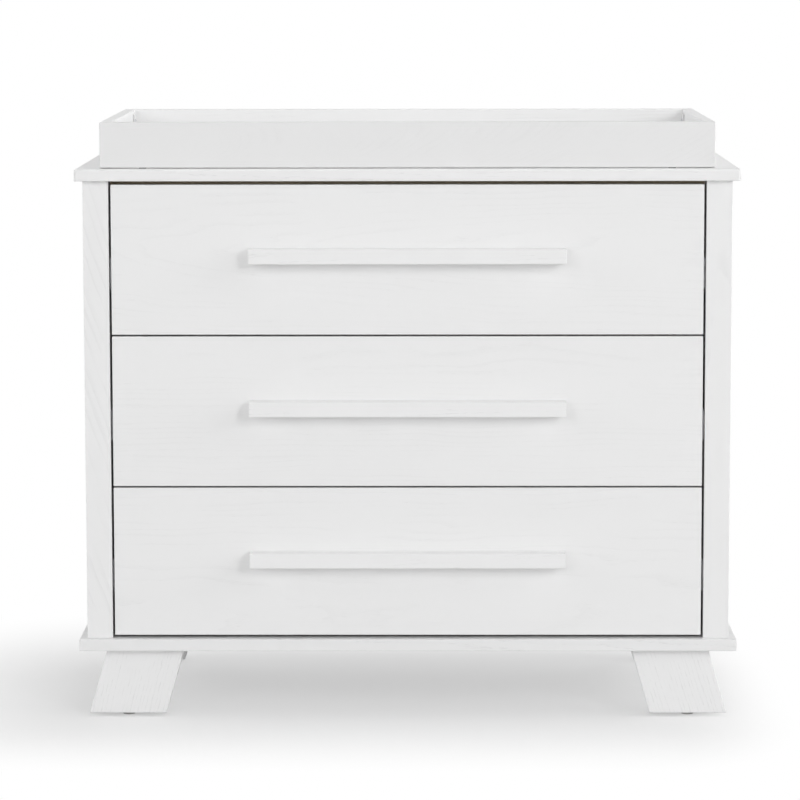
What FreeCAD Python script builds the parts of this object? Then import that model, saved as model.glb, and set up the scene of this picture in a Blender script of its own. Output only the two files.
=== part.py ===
import FreeCAD, Part
import math
import os

from FreeCAD import Vector

# A three-drawer dresser on splayed legs, with a lift-off changing tray on top.
#
# Millimetres. The front faces -Y, +X is to the right as seen from the front and +Z is up. The origin
# lies on the floor, under the middle of the whole object, pulls included.
#
# Runner sections are drawn in (d, z): d is the distance from the face that carries the runner towards
# the drawer, and z the height above the runner's middle.

# ---------------------------------------------------------------- driving dimensions

# Top and base slabs
slab_width = 934.0
slab_depth = 476.0
slab_thickness = 17.0
slab_roundover = 3.5        # upper edge and corners of the top slab
slab_ease = 1.2             # every other slab edge, cut at 45 degrees like the other eases

# Case between the slabs
case_height = 651.0
side_overhang = 11.0        # slab past the posts, at each side
front_overhang = 12.0
rear_overhang = 4.0
post_width = 36.0
post_depth = 40.0
post_ease = 1.2
panel_thickness = 15.0      # side panels
panel_setback = 3.0         # side panel's face behind the posts' faces
panel_tongue = 8.0          # how far a side panel runs into each post's groove
panel_clearance = 0.2       # round a panel in its groove or rabbet
back_thickness = 5.0
back_rabbet = 10.0          # width of the rabbet that takes the back panel
rail_thickness = 18.0
front_rail_width = 60.0
rear_rail_height = 60.0
batten_height = 56.0        # packing behind each runner

# Legs
leg_width = 110.0
leg_depth = 45.0
leg_height = 93.0
leg_splay = 27.3            # sideways lean of a leg over its height
leg_inset = 39.0            # outer upper edge of a leg in from the slab's side
leg_setback = 18.0          # leg faces in from the slab's front and back
leg_ease = 1.5
glide_diameter = 18.0
glide_height = 5.0
glide_ease = 1.2
glide_pin_diameter = 4.0
glide_pin_length = 14.0

# Drawers
drawer_names = ("bottom", "middle", "top")
front_thickness = 18.0
front_ease = 1.2
side_gap = 4.0              # between a drawer front and a post
between_gap = 3.5           # between two drawer fronts
bottom_gap = 3.5
top_gap = 4.5
box_side_thickness = 12.0
box_back_thickness = 12.0
box_height = 160.0
box_rear_gap = 32.0         # between a drawer box and the back panel
box_rise = 14.0             # box's underside above the drawer front's lower edge
box_ease = 2.0              # upper edges of the box sides and back
bottom_thickness = 5.0
bottom_rise = 10.0          # bottom panel above the box's underside
bottom_tongue = 6.0         # how far the bottom panel runs into its grooves
bottom_clearance = 0.2

# Pulls
pull_length = 446.0
pull_height = 21.0
pull_projection = 28.0
pull_rise = 5.5             # above the middle of the drawer front
pull_ease = 1.4
pull_screw_spacing = 320.0
pull_screw_bite = 18.0      # length of thread in the pull

# Telescopic runners
runner_height = 45.0
runner_thickness = 12.7
runner_rise = 70.0          # runner's middle above the box's underside
runner_setback = 2.0        # behind the drawer front
runner_rear_setback = 3.0   # before the back of the drawer box
runner_gauge = 1.2          # sheet thickness
runner_bend = 1.6           # bend radius at the middle of the sheet
race_height = 4.4           # between the flanges that a row of balls runs in
race_clearance = 0.1        # above and below the balls
web_gap = 1.6               # between the fixed and the middle member's webs
lip_gap = 0.6               # between a lip's end and the flange that it faces
fixed_depth = 10.1          # fixed member's reach towards the drawer
middle_depth = 10.9         # middle member's reach towards the drawer
drawer_member_depth = 7.7   # drawer member's reach towards the case
cage_gauge = 0.6
cage_length = 120.0
cage_start = 130.0          # a closed runner's cages, from the runner's front end
cage_arm = 1.6              # from a cage's web to its balls' outer side

# Changing tray
tray_height = 64.0
tray_wall = 15.7
tray_side_setback = 35.25   # tray's faces in from the slab's edges
tray_front_setback = 16.0
tray_rear_setback = 15.0
tray_ease = 1.2
pad_thickness = 1.0
pad_width = 10.0
pad_inset = 60.0            # from the tray's corners, along the long boards
bracket_gauge = 1.6
bracket_bend = 2.0
bracket_width = 32.0
bracket_foot = 20.0
bracket_drop = 7.0          # bracket's upper end below the tray's rim
bracket_inset = 2.0         # from the rear board
bracket_screw_pitch = 28.0
bracket_screw_inset = 10.0  # below the bracket's upper end

# Small turned pieces are drawn with flats, and their holes with the same flats
fastener_sides = 8
glide_sides = 24
ball_sides = 10

cut_margin = 1.0            # how far a cutting solid runs past what it cuts
tolerance = 1e-6            # within which two lengths are the same

# Screws and bolts: shank diameter, head diameter, head height
pull_screw = (4.0, 8.5, 2.4)
bracket_screw = (3.5, 7.0, 2.0)
back_screw = (3.5, 8.0, 2.0)
leg_bolt = (6.0, 12.0, 3.0)
pan_crown = 0.6             # share of a pan head's width that is flat on top
hole_clearance = 0.1        # round a shank, on the radius
bracket_screw_length = 12.0
foot_screw_length = 12.0
back_screw_length = 16.0
back_screw_inset = 6.0      # from the back panel's edge
back_screw_rows = 4
leg_bolt_length = 60.0
leg_bolt_spacing = 60.0

# ---------------------------------------------------------------- places worked out from them

pull_reach = max(0.0, pull_projection - front_overhang)
slab_half = slab_width / 2
slab_front = (pull_reach - slab_depth) / 2
slab_back = slab_front + slab_depth
base_bottom = glide_height + leg_height
base_top = base_bottom + slab_thickness
case_top = base_top + case_height
slab_top = case_top + slab_thickness

case_half = slab_half - side_overhang
case_front = slab_front + front_overhang
case_back = slab_back - rear_overhang
opening_half = case_half - post_width
panel_outer = case_half - panel_setback
panel_inner = panel_outer - panel_thickness
front_post_back = case_front + post_depth
rear_post_front = case_back - post_depth
back_face = case_back - back_thickness

leg_top_centre = slab_half - leg_inset - leg_width / 2
leg_foot_centre = leg_top_centre + leg_splay
leg_front_centre = slab_front + leg_setback + leg_depth / 2
leg_rear_centre = slab_back - leg_setback - leg_depth / 2

front_half = opening_half - side_gap
drawer_count = len(drawer_names)
front_height = (case_height - top_gap - bottom_gap - between_gap * (drawer_count - 1)) / drawer_count
front_back = case_front + front_thickness
box_half = opening_half - runner_thickness
box_inner_half = box_half - box_side_thickness
box_back = back_face - box_rear_gap
box_inner_back = box_back - box_back_thickness

runner_front = front_back + runner_setback
runner_length = box_back - runner_rear_setback - runner_front

tray_half = slab_half - tray_side_setback
tray_front = slab_front + tray_front_setback
tray_back = slab_back - tray_rear_setback
tray_bottom = slab_top + pad_thickness
tray_rim = tray_bottom + tray_height
tray_inner_half = tray_half - tray_wall
bracket_middle = tray_back - tray_wall - bracket_inset - bracket_width / 2


# ---------------------------------------------------------------- shared shapes

def box(x0, x1, y0, y1, z0, z1):
    return Part.makeBox(x1 - x0, y1 - y0, z1 - z0, Vector(x0, y0, z0))


def edges_of(shape, test):
    """Edges whose bounding box passes a test."""
    return [edge for edge in shape.Edges if test(edge.BoundBox)]


def rounded(shape, radius, test):
    """The shape with the edges that pass a test rounded."""
    return shape.makeFillet(radius, edges_of(shape, test))


def eased(shape, width, test=lambda bounds: True):
    """The shape with its edges, or those that pass a test, taken off at 45 degrees."""
    return shape.makeChamfer(width, edges_of(shape, test))


def runs_along(axis):
    """Test for the straight edges that are parallel to an axis."""
    spans = {"x": ("YLength", "ZLength"), "y": ("XLength", "ZLength"), "z": ("XLength", "YLength")}
    return lambda bounds: all(getattr(bounds, span) < tolerance for span in spans[axis])


def at_height(z):
    """Test for edges that lie level at a height."""
    return lambda bounds: abs(bounds.ZMin - z) < tolerance and abs(bounds.ZMax - z) < tolerance


def mirrored(shape):
    """The shape's twin on the other side of the dresser."""
    return shape.mirror(Vector(0, 0, 0), Vector(1, 0, 0))


def both_sides(shape):
    return [mirrored(shape), shape]


def flat_face(points):
    return Part.Face(Part.makePolygon(points + points[:1]))


def turned(points, sides):
    """Solid about Z with flats round it, from (radius, height) corners that start and end on the axis."""
    def spot(radius, z, step):
        angle = 2 * math.pi * step / sides
        return Vector(radius * math.cos(angle), radius * math.sin(angle), z)

    faces = []
    for low, high in zip(points, points[1:]):
        if low[0] == 0 or high[0] == 0:
            radius, z = low if high[0] == 0 else high
            faces.append(flat_face([spot(radius, z, step) for step in range(sides)]))
            continue
        for step in range(sides):
            faces.append(flat_face([
                spot(*low, step), spot(*low, step + 1), spot(*high, step + 1), spot(*high, step)]))
    solid = Part.Solid(Part.Shell(faces))
    if solid.Volume < 0:
        solid.reverse()
    return solid


def pointing(shape, origin, direction):
    """A shape made along +Z from the world's origin, moved to a point and turned to a direction."""
    turn = FreeCAD.Rotation(Vector(0, 0, 1), direction)
    return shape.transformed(FreeCAD.Placement(origin, turn).toMatrix())


def pan_screw(size, length, origin, direction):
    """Pan-head screw. Its head stands behind the origin and its shank runs along the direction."""
    shank, head, head_height = size
    outline = [
        (0, -head_height), (head * pan_crown / 2, -head_height), (head / 2, 0),
        (shank / 2, 0), (shank / 2, length), (0, length),
    ]
    return pointing(turned(outline, fastener_sides), origin, direction)


def flat_screw(size, length, origin, direction):
    """Countersunk screw. Its head's flat top lies at the origin."""
    shank, head, head_height = size
    outline = [(0, 0), (head / 2, 0), (shank / 2, head_height), (shank / 2, length), (0, length)]
    return pointing(turned(outline, fastener_sides), origin, direction)


def shank_hole(size, length, origin, direction, countersunk=False):
    """Clearance hole for a screw, as a solid to cut away."""
    shank, head, head_height = size
    radius = shank / 2 + hole_clearance
    outline = [(0, 0), (radius, 0), (radius, length + hole_clearance), (0, length + hole_clearance)]
    if countersunk:
        outline[1:2] = [(head / 2 + hole_clearance, 0), (radius, head_height)]
    return pointing(turned(outline, fastener_sides), origin, direction)


def bent_strip(path, gauge, bend):
    """Face in the XZ plane of a strip of sheet that is bent along a path of (x, z) corners."""
    corners = [Vector(x, 0, z) for x, z in path]
    headings = [(b - a).normalize() for a, b in zip(corners, corners[1:])]
    trims = [0.0]
    for before, after in zip(headings, headings[1:]):
        trims.append(bend * math.tan(before.getAngle(after) / 2))
    trims.append(0.0)

    def flank(offset):
        edges = []
        last = None
        for index, heading in enumerate(headings):
            normal = Vector(-heading.z, 0, heading.x) * offset
            start = corners[index] + heading * trims[index] + normal
            end = corners[index + 1] - heading * trims[index + 1] + normal
            if last is not None:
                before = headings[index - 1]
                inward = (heading - before).normalize()
                half_turn = before.getAngle(heading) / 2
                centre = corners[index] + inward * (bend / math.cos(half_turn))
                middle = centre - inward * (last - centre).Length
                edges.append(Part.Arc(last, middle, start).toShape())
            edges.append(Part.LineSegment(start, end).toShape())
            last = end
        return edges

    left = flank(gauge / 2)
    right = flank(-gauge / 2)
    caps = [
        Part.LineSegment(left[0].Vertexes[0].Point, right[0].Vertexes[0].Point).toShape(),
        Part.LineSegment(left[-1].Vertexes[-1].Point, right[-1].Vertexes[-1].Point).toShape(),
    ]
    return Part.Face(Part.Wire(Part.__sortEdges__(left + right + caps)))


# ---------------------------------------------------------------- case

def foot_screw_point(z):
    """Where the screw through the right tray bracket's foot stands, at a height."""
    return Vector(tray_inner_half - bracket_foot / 2 - bracket_bend, bracket_middle, z)


def leg_bolt_points(side, y):
    """Tops of the two bolts that hold a leg."""
    return [
        Vector(side * leg_top_centre + offset, y, base_top)
        for offset in (-leg_bolt_spacing / 2, leg_bolt_spacing / 2)
    ]


def all_leg_bolt_points():
    return [
        point
        for side in (-1, 1)
        for y in (leg_front_centre, leg_rear_centre)
        for point in leg_bolt_points(side, y)
    ]


def make_top_slab():
    slab = box(-slab_half, slab_half, slab_front, slab_back, case_top, slab_top)
    upright = runs_along("z")
    upper = at_height(slab_top)
    slab = rounded(slab, slab_roundover, lambda bounds: upright(bounds) or upper(bounds))
    slab = eased(slab, slab_ease, at_height(case_top))
    hole = shank_hole(bracket_screw, foot_screw_length, foot_screw_point(slab_top), Vector(0, 0, -1))
    for cutter in both_sides(hole):
        slab = slab.cut(cutter)
    return slab


def make_base_slab():
    slab = eased(box(-slab_half, slab_half, slab_front, slab_back, base_bottom, base_top), slab_ease)
    for point in all_leg_bolt_points():
        slab = slab.cut(shank_hole(leg_bolt, leg_bolt_length, point, Vector(0, 0, -1), countersunk=True))
    return slab


def panel_groove():
    """The right side panel with room round it, as a solid to cut out of the posts."""
    return box(
        panel_inner - panel_clearance, panel_outer + panel_clearance,
        front_post_back - panel_tongue - panel_clearance, rear_post_front + panel_tongue + panel_clearance,
        base_top - cut_margin, case_top + cut_margin,
    )


def back_rabbet_cut():
    """The back panel with room round it, as a solid to cut out of the rear posts."""
    reach = opening_half + back_rabbet
    return box(
        -reach, reach,
        back_face, case_back + cut_margin,
        base_top - cut_margin, case_top + cut_margin,
    )


def make_front_post():
    post = eased(box(opening_half, case_half, case_front, front_post_back, base_top, case_top), post_ease)
    return post.cut(panel_groove())


def make_rear_post():
    post = eased(box(opening_half, case_half, rear_post_front, case_back, base_top, case_top), post_ease)
    post = post.cut(panel_groove()).cut(back_rabbet_cut())
    for point in back_screw_points():
        if point.x > 0:
            post = post.cut(shank_hole(back_screw, back_screw_length, point, Vector(0, -1, 0)))
    return post


def make_side_panel():
    return box(
        panel_inner, panel_outer,
        front_post_back - panel_tongue, rear_post_front + panel_tongue,
        base_top, case_top,
    )


def back_screw_points():
    """Screws of the back panel: a row up each side."""
    reach = opening_half + back_rabbet - panel_clearance - back_screw_inset
    pitch = case_height / back_screw_rows
    return [
        Vector(side * reach, case_back, base_top + pitch * (row + 0.5))
        for side in (-1, 1)
        for row in range(back_screw_rows)
    ]


def make_back_panel():
    reach = opening_half + back_rabbet - panel_clearance
    panel = box(-reach, reach, back_face, case_back, base_top, case_top)
    for point in back_screw_points():
        panel = panel.cut(shank_hole(back_screw, back_screw_length, point, Vector(0, -1, 0)))
    return panel


def make_back_screws():
    return [pan_screw(back_screw, back_screw_length, point, Vector(0, -1, 0)) for point in back_screw_points()]


def make_front_rail():
    return box(
        -panel_inner, panel_inner,
        front_post_back, front_post_back + front_rail_width,
        case_top - rail_thickness, case_top,
    )


def make_rear_rail():
    return box(
        -opening_half, opening_half,
        back_face - rail_thickness, back_face,
        case_top - rear_rail_height, case_top,
    )


def make_battens():
    battens = []
    for index in range(drawer_count):
        middle = runner_middle(index)
        batten = box(
            opening_half, panel_inner,
            front_post_back, rear_post_front,
            middle - batten_height / 2, middle + batten_height / 2,
        )
        battens += both_sides(batten)
    return battens


# ---------------------------------------------------------------- legs

def make_leg(y):
    """Right-hand leg: a parallelogram that leans outwards towards the floor."""
    half = leg_width / 2
    corners = [
        (leg_foot_centre - half, glide_height), (leg_foot_centre + half, glide_height),
        (leg_top_centre + half, base_bottom), (leg_top_centre - half, base_bottom),
    ]
    front = y - leg_depth / 2
    outline = flat_face([Vector(x, front, z) for x, z in corners])
    leg = eased(outline.extrude(Vector(0, leg_depth, 0)), leg_ease)
    leg = leg.cut(glide_pin_hole(leg_foot_centre, y))
    for point in leg_bolt_points(1, y):
        leg = leg.cut(shank_hole(leg_bolt, leg_bolt_length, point, Vector(0, 0, -1)))
    return leg


def glide_pin_hole(x, y):
    radius = glide_pin_diameter / 2 + hole_clearance
    depth = glide_pin_length + hole_clearance
    hole = turned([(0, 0), (radius, 0), (radius, depth), (0, depth)], glide_sides)
    return pointing(hole, Vector(x, y, glide_height), Vector(0, 0, 1))


def make_glide(x, y):
    radius = glide_diameter / 2
    pin = glide_pin_diameter / 2
    tip = glide_height + glide_pin_length
    outline = [
        (0, 0), (radius - glide_ease, 0), (radius, glide_ease), (radius, glide_height),
        (pin, glide_height), (pin, tip), (0, tip),
    ]
    return pointing(turned(outline, glide_sides), Vector(x, y, 0), Vector(0, 0, 1))


def make_glides():
    return [
        make_glide(side * leg_foot_centre, y)
        for side in (-1, 1)
        for y in (leg_front_centre, leg_rear_centre)
    ]


def make_leg_bolts():
    return [flat_screw(leg_bolt, leg_bolt_length, point, Vector(0, 0, -1)) for point in all_leg_bolt_points()]


# ---------------------------------------------------------------- drawers

def front_low(index):
    """Height of a drawer front's lower edge."""
    return base_top + bottom_gap + index * (front_height + between_gap)


def box_low(index):
    return front_low(index) + box_rise


def runner_middle(index):
    return box_low(index) + runner_rise


def pull_middle(index):
    return front_low(index) + front_height / 2 + pull_rise


def pull_screw_points(index, y):
    return [Vector(x, y, pull_middle(index)) for x in (-pull_screw_spacing / 2, pull_screw_spacing / 2)]


def bottom_slot(index):
    """A drawer's bottom panel with room round it, as a solid to cut out of the box."""
    low = box_low(index) + bottom_rise
    reach = box_inner_half + bottom_tongue
    return box(
        -reach, reach,
        front_back - bottom_tongue, box_inner_back + bottom_tongue,
        low - bottom_clearance, low + bottom_thickness + bottom_clearance,
    )


def make_drawer_front(index):
    low = front_low(index)
    front = eased(box(-front_half, front_half, case_front, front_back, low, low + front_height), front_ease)
    front = front.cut(bottom_slot(index))
    for point in pull_screw_points(index, front_back):
        front = front.cut(shank_hole(pull_screw, front_thickness, point, Vector(0, -1, 0)))
    return front


def make_drawer_side(index):
    low = box_low(index)
    side = box(box_inner_half, box_half, front_back, box_back, low, low + box_height)
    upper = at_height(low + box_height)
    along = runs_along("y")
    side = eased(side, box_ease, lambda bounds: upper(bounds) and along(bounds))
    return side.cut(bottom_slot(index))


def make_drawer_back(index):
    low = box_low(index)
    back = box(-box_inner_half, box_inner_half, box_inner_back, box_back, low, low + box_height)
    upper = at_height(low + box_height)
    along = runs_along("x")
    back = eased(back, box_ease, lambda bounds: upper(bounds) and along(bounds))
    return back.cut(bottom_slot(index))


def make_drawer_bottom(index):
    low = box_low(index) + bottom_rise
    reach = box_inner_half + bottom_tongue - bottom_clearance
    return box(
        -reach, reach,
        front_back - bottom_tongue + bottom_clearance, box_inner_back + bottom_tongue - bottom_clearance,
        low, low + bottom_thickness,
    )


def make_pull(index):
    middle = pull_middle(index)
    half = pull_length / 2
    front = case_front - pull_projection
    pull = box(-half, half, front, case_front, middle - pull_height / 2, middle + pull_height / 2)
    pull = eased(pull, pull_ease, lambda bounds: bounds.YMin < case_front - tolerance)
    for point in pull_screw_points(index, front_back):
        pull = pull.cut(shank_hole(pull_screw, front_thickness + pull_screw_bite, point, Vector(0, -1, 0)))
    return pull


def make_pull_screws(index):
    length = front_thickness + pull_screw_bite
    return [
        pan_screw(pull_screw, length, point, Vector(0, -1, 0))
        for point in pull_screw_points(index, front_back)
    ]


# ---------------------------------------------------------------- telescopic runners

fixed_half = runner_height / 2
middle_half = fixed_half - runner_gauge - race_height
drawer_member_half = middle_half - runner_gauge - race_height
middle_web = runner_gauge + web_gap
ball_radius = race_height / 2 - race_clearance


def lipped_path(web, reach, half, lip_end):
    """Middle line of a channel whose flanges end in lips that turn inwards."""
    inset = runner_gauge / 2
    back = web + inset
    front = reach - inset
    flange = half - inset
    return [
        (front, lip_end), (front, flange), (back, flange),
        (back, -flange), (front, -flange), (front, -lip_end),
    ]


def fixed_section():
    return bent_strip(
        lipped_path(0.0, fixed_depth, fixed_half, middle_half + lip_gap), runner_gauge, runner_bend)


def middle_section():
    return bent_strip(
        lipped_path(middle_web, middle_depth, middle_half, drawer_member_half + lip_gap),
        runner_gauge, runner_bend)


def drawer_member_section():
    inset = runner_gauge / 2
    web = runner_thickness - inset
    tip = runner_thickness - drawer_member_depth
    flange = drawer_member_half - inset
    return bent_strip([(tip, flange), (web, flange), (web, -flange), (tip, -flange)], runner_gauge, runner_bend)


def outer_cage_place():
    """Web and ball centre, in d, of the cage between the fixed and the middle member."""
    web_face = runner_gauge
    web = web_face + (web_gap - cage_gauge) / 2
    return web, (web_face + fixed_depth - runner_gauge) / 2


def inner_cage_place():
    """Web and ball centre, in d, of the cage between the middle and the drawer member."""
    web_face = middle_web + runner_gauge
    tip = runner_thickness - drawer_member_depth
    web = web_face + (tip - web_face - cage_gauge) / 2
    return web, (web_face + middle_depth - runner_gauge) / 2


def laid(section, index, start, length):
    """A runner section run out along Y, on the right and on the left of a drawer."""
    outward = section.mirror(Vector(0, 0, 0), Vector(1, 0, 0))
    outward.translate(Vector(opening_half, start, runner_middle(index)))
    return both_sides(outward.extrude(Vector(0, length, 0)))


def make_member(section, index):
    return laid(section, index, runner_front, runner_length)


def make_cage(place, ball_height, index):
    """A cage's web with a row of balls, drawn as one round strip, along its upper and lower edges."""
    web, ball = place
    start = runner_front + cage_start
    middle = runner_middle(index)
    strip = ball_height + cage_gauge / 2
    plate = box(
        opening_half - web - cage_gauge, opening_half - web,
        start, start + cage_length, middle - strip, middle + strip,
    )
    reach = opening_half - ball + ball_radius - cage_arm
    for side in (-1, 1):
        height = middle + side * ball_height
        arm = box(
            reach, opening_half - web,
            start, start + cage_length, height - cage_gauge / 2, height + cage_gauge / 2,
        )
        balls = turned([(0, 0), (ball_radius, 0), (ball_radius, cage_length), (0, cage_length)], ball_sides)
        balls = pointing(balls, Vector(opening_half - ball, start, height), Vector(0, 1, 0))
        plate = plate.fuse([arm, balls])
    return both_sides(plate.removeSplitter())


def make_outer_cages(index):
    return make_cage(outer_cage_place(), middle_half + race_height / 2, index)


def make_inner_cages(index):
    return make_cage(inner_cage_place(), drawer_member_half + race_height / 2, index)


# ---------------------------------------------------------------- changing tray

def make_tray_boards():
    """The four mitred boards, cut out of one eased frame."""
    outer = box(-tray_half, tray_half, tray_front, tray_back, tray_bottom, tray_rim)
    inner_front = tray_front + tray_wall
    inner_back = tray_back - tray_wall
    low = tray_bottom - cut_margin
    high = tray_rim + cut_margin
    well = box(-tray_inner_half, tray_inner_half, inner_front, inner_back, low, high)
    frame = outer.cut(well)
    outer_upright = runs_along("z")
    rim = at_height(tray_rim)
    foot = at_height(tray_bottom)

    def open_edge(bounds):
        on_corner = abs(abs(bounds.Center.x) - tray_half) < tolerance
        return rim(bounds) or foot(bounds) or (outer_upright(bounds) and on_corner)

    frame = eased(frame, tray_ease, open_edge)

    def cut_to(corners):
        outline = flat_face([Vector(x, y, low) for x, y in corners])
        return frame.common(outline.extrude(Vector(0, 0, high - low)))

    front = cut_to([
        (-tray_half, tray_front), (tray_half, tray_front),
        (tray_inner_half, inner_front), (-tray_inner_half, inner_front),
    ])
    back = cut_to([
        (-tray_inner_half, inner_back), (tray_inner_half, inner_back),
        (tray_half, tray_back), (-tray_half, tray_back),
    ])
    right = cut_to([
        (tray_inner_half, inner_front), (tray_half, tray_front),
        (tray_half, tray_back), (tray_inner_half, inner_back),
    ])
    for point in bracket_screw_points():
        right = right.cut(shank_hole(bracket_screw, bracket_screw_length, point, Vector(1, 0, 0)))
    return {"tray_front": front, "tray_back": back, "tray_left": mirrored(right), "tray_right": right}


def make_tray_pads():
    x = tray_half - pad_inset
    half = pad_width / 2
    pads = []
    for y in (tray_front + tray_wall / 2, tray_back - tray_wall / 2):
        pads += both_sides(box(x - half, x + half, y - half, y + half, slab_top, tray_bottom))
    return pads


def bracket_top():
    return tray_rim - bracket_drop


def bracket_screw_points():
    """Screws that hold the right bracket to its board, on the bracket's face."""
    x = tray_inner_half - bracket_gauge
    upper = bracket_top() - bracket_screw_inset
    return [Vector(x, bracket_middle, upper - drop) for drop in (0.0, bracket_screw_pitch)]


def make_tray_brackets():
    upright = tray_inner_half - bracket_gauge / 2
    foot = slab_top + bracket_gauge / 2
    path = [(upright, bracket_top()), (upright, foot), (tray_inner_half - bracket_foot, foot)]
    strip = bent_strip(path, bracket_gauge, bracket_bend)
    strip.translate(Vector(0, bracket_middle - bracket_width / 2, 0))
    bracket = strip.extrude(Vector(0, bracket_width, 0))
    for point in bracket_screw_points():
        bracket = bracket.cut(shank_hole(bracket_screw, bracket_screw_length, point, Vector(1, 0, 0)))
    seat = foot_screw_point(slab_top + bracket_gauge)
    bracket = bracket.cut(shank_hole(bracket_screw, foot_screw_length, seat, Vector(0, 0, -1)))
    return both_sides(bracket)


def make_tray_screws():
    screws = [
        pan_screw(bracket_screw, bracket_screw_length, point, Vector(1, 0, 0))
        for point in bracket_screw_points()
    ]
    seat = foot_screw_point(slab_top + bracket_gauge)
    screws.append(pan_screw(bracket_screw, foot_screw_length, seat, Vector(0, 0, -1)))
    return [solid for screw in screws for solid in both_sides(screw)]


# ---------------------------------------------------------------- the whole

def make_case_parts():
    parts = {
        "top_slab": make_top_slab(),
        "base_slab": make_base_slab(),
        "back_panel": make_back_panel(),
        "back_panel_screws": make_back_screws(),
        "top_rail_front": make_front_rail(),
        "top_rail_rear": make_rear_rail(),
        "runner_battens": make_battens(),
        "leg_glides": make_glides(),
        "leg_bolts": make_leg_bolts(),
    }
    pairs = {
        "front_post": make_front_post(),
        "rear_post": make_rear_post(),
        "side_panel": make_side_panel(),
        "leg_front": make_leg(leg_front_centre),
        "leg_rear": make_leg(leg_rear_centre),
    }
    for name, shape in pairs.items():
        parts[name + "_left"], parts[name + "_right"] = both_sides(shape)
    return parts


def make_drawer_parts():
    parts = {"runner_fixed_members": []}
    for index, name in enumerate(drawer_names):
        drawer = name + "_drawer_"
        runner = name + "_runner_"
        parts[drawer + "front"] = make_drawer_front(index)
        parts[drawer + "side_left"], parts[drawer + "side_right"] = both_sides(make_drawer_side(index))
        parts[drawer + "back"] = make_drawer_back(index)
        parts[drawer + "bottom"] = make_drawer_bottom(index)
        parts[drawer + "pull"] = make_pull(index)
        parts[drawer + "pull_screws"] = make_pull_screws(index)
        parts["runner_fixed_members"] += make_member(fixed_section(), index)
        parts[runner + "middle_members"] = make_member(middle_section(), index)
        parts[runner + "drawer_members"] = make_member(drawer_member_section(), index)
        parts[runner + "outer_cages"] = make_outer_cages(index)
        parts[runner + "inner_cages"] = make_inner_cages(index)
    return parts


def make_tray_parts():
    parts = make_tray_boards()
    parts["tray_pads"] = make_tray_pads()
    parts["tray_brackets"] = make_tray_brackets()
    parts["tray_bracket_screws"] = make_tray_screws()
    return parts


def main():
    os.makedirs("parts", exist_ok=True)
    parts = {**make_case_parts(), **make_drawer_parts(), **make_tray_parts()}
    for name, shape in parts.items():
        if isinstance(shape, list):
            shape = Part.makeCompound(shape)
        shape.exportStep("parts/" + name + ".step")
    print(len(parts), "parts written")


main()
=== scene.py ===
"""Looks of a changing dresser: white painted boards with the grain showing through, drawers on ball runners,
splayed legs and a lift-off tray.

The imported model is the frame. Boards are worked again with rounded arrises in the places that the model
gives them, fittings are set out with geometry nodes, and every piece rides on the body that carries it.
Lengths are in metres, +Z is up and the front faces -Y.
"""

import logging
import math
from collections.abc import Callable, Iterable
from dataclasses import dataclass, field
from enum import Enum
from random import Random
from typing import ClassVar

import bmesh
import bpy
from mathutils import Euler, Matrix, Vector


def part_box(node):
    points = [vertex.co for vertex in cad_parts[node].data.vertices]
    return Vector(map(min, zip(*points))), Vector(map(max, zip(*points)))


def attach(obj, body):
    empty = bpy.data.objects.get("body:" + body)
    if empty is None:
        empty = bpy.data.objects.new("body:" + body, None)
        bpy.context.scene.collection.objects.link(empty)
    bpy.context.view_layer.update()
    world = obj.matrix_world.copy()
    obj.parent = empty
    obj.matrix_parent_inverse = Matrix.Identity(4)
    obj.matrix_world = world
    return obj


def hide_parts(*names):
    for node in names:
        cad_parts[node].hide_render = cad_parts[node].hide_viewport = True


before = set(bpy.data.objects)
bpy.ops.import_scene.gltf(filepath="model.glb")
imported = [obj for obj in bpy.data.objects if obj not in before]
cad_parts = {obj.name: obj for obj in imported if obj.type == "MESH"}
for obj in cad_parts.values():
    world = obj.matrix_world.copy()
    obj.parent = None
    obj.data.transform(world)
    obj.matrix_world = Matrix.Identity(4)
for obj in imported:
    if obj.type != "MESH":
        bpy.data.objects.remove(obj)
log = logging.getLogger("dresser")

Flat = tuple[float, float]
Point = tuple[float, float, float]
Colour = tuple[float, float, float]
Socket = bpy.types.NodeSocket
Value = Socket | float | int | bool | Point | str
Piece = bpy.types.Object
Shape = bmesh.types.BMesh

MM = 0.001
WELD = 0.000001  # corners nearer than this are one corner
TOUCH = 0.0000001  # how near a corner has to be to count as on a cut
BOARD_CRISP, ROLLED_CRISP, TURNED_CRISP = 40.0, 50.0, 35.0  # degrees from which an edge stays crisp
FACE_WEIGHT = 80  # how much a face's size counts in the shading of its corners
SEEN_FACETS, HIDDEN_FACETS = 4, 2  # facets on a rounded edge
WHITE = (1.0, 1.0, 1.0, 1.0)

DRAWERS = ("bottom", "middle", "top")
SIGNS = {"left": -1, "right": 1}
FORWARDS = (0.0, -1.0, 0.0)
DOWN = (0.0, 0.0, -1.0)


class Axis(Enum):
    """Which way a board or a fitting runs. The value holds the indices of across, up and along."""

    X = (1, 2, 0)
    Y = (0, 2, 1)
    Z = (0, 1, 2)

    def place(self, across: float, up: float, along: float) -> Vector:
        """Turns a place on a run into a point of the dresser's frame.

        Args:
            across: How far across the run.
            up: How far up, or back where the run is upright.
            along: How far along the run.

        Returns:
            The point.
        """
        spot = Vector()
        for index, length in zip(self.value, (across, up, along)):
            spot[index] = length
        return spot

    @property
    def way(self) -> Point:
        """The direction of the run."""
        return tuple(self.place(0.0, 0.0, 1.0))


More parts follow.
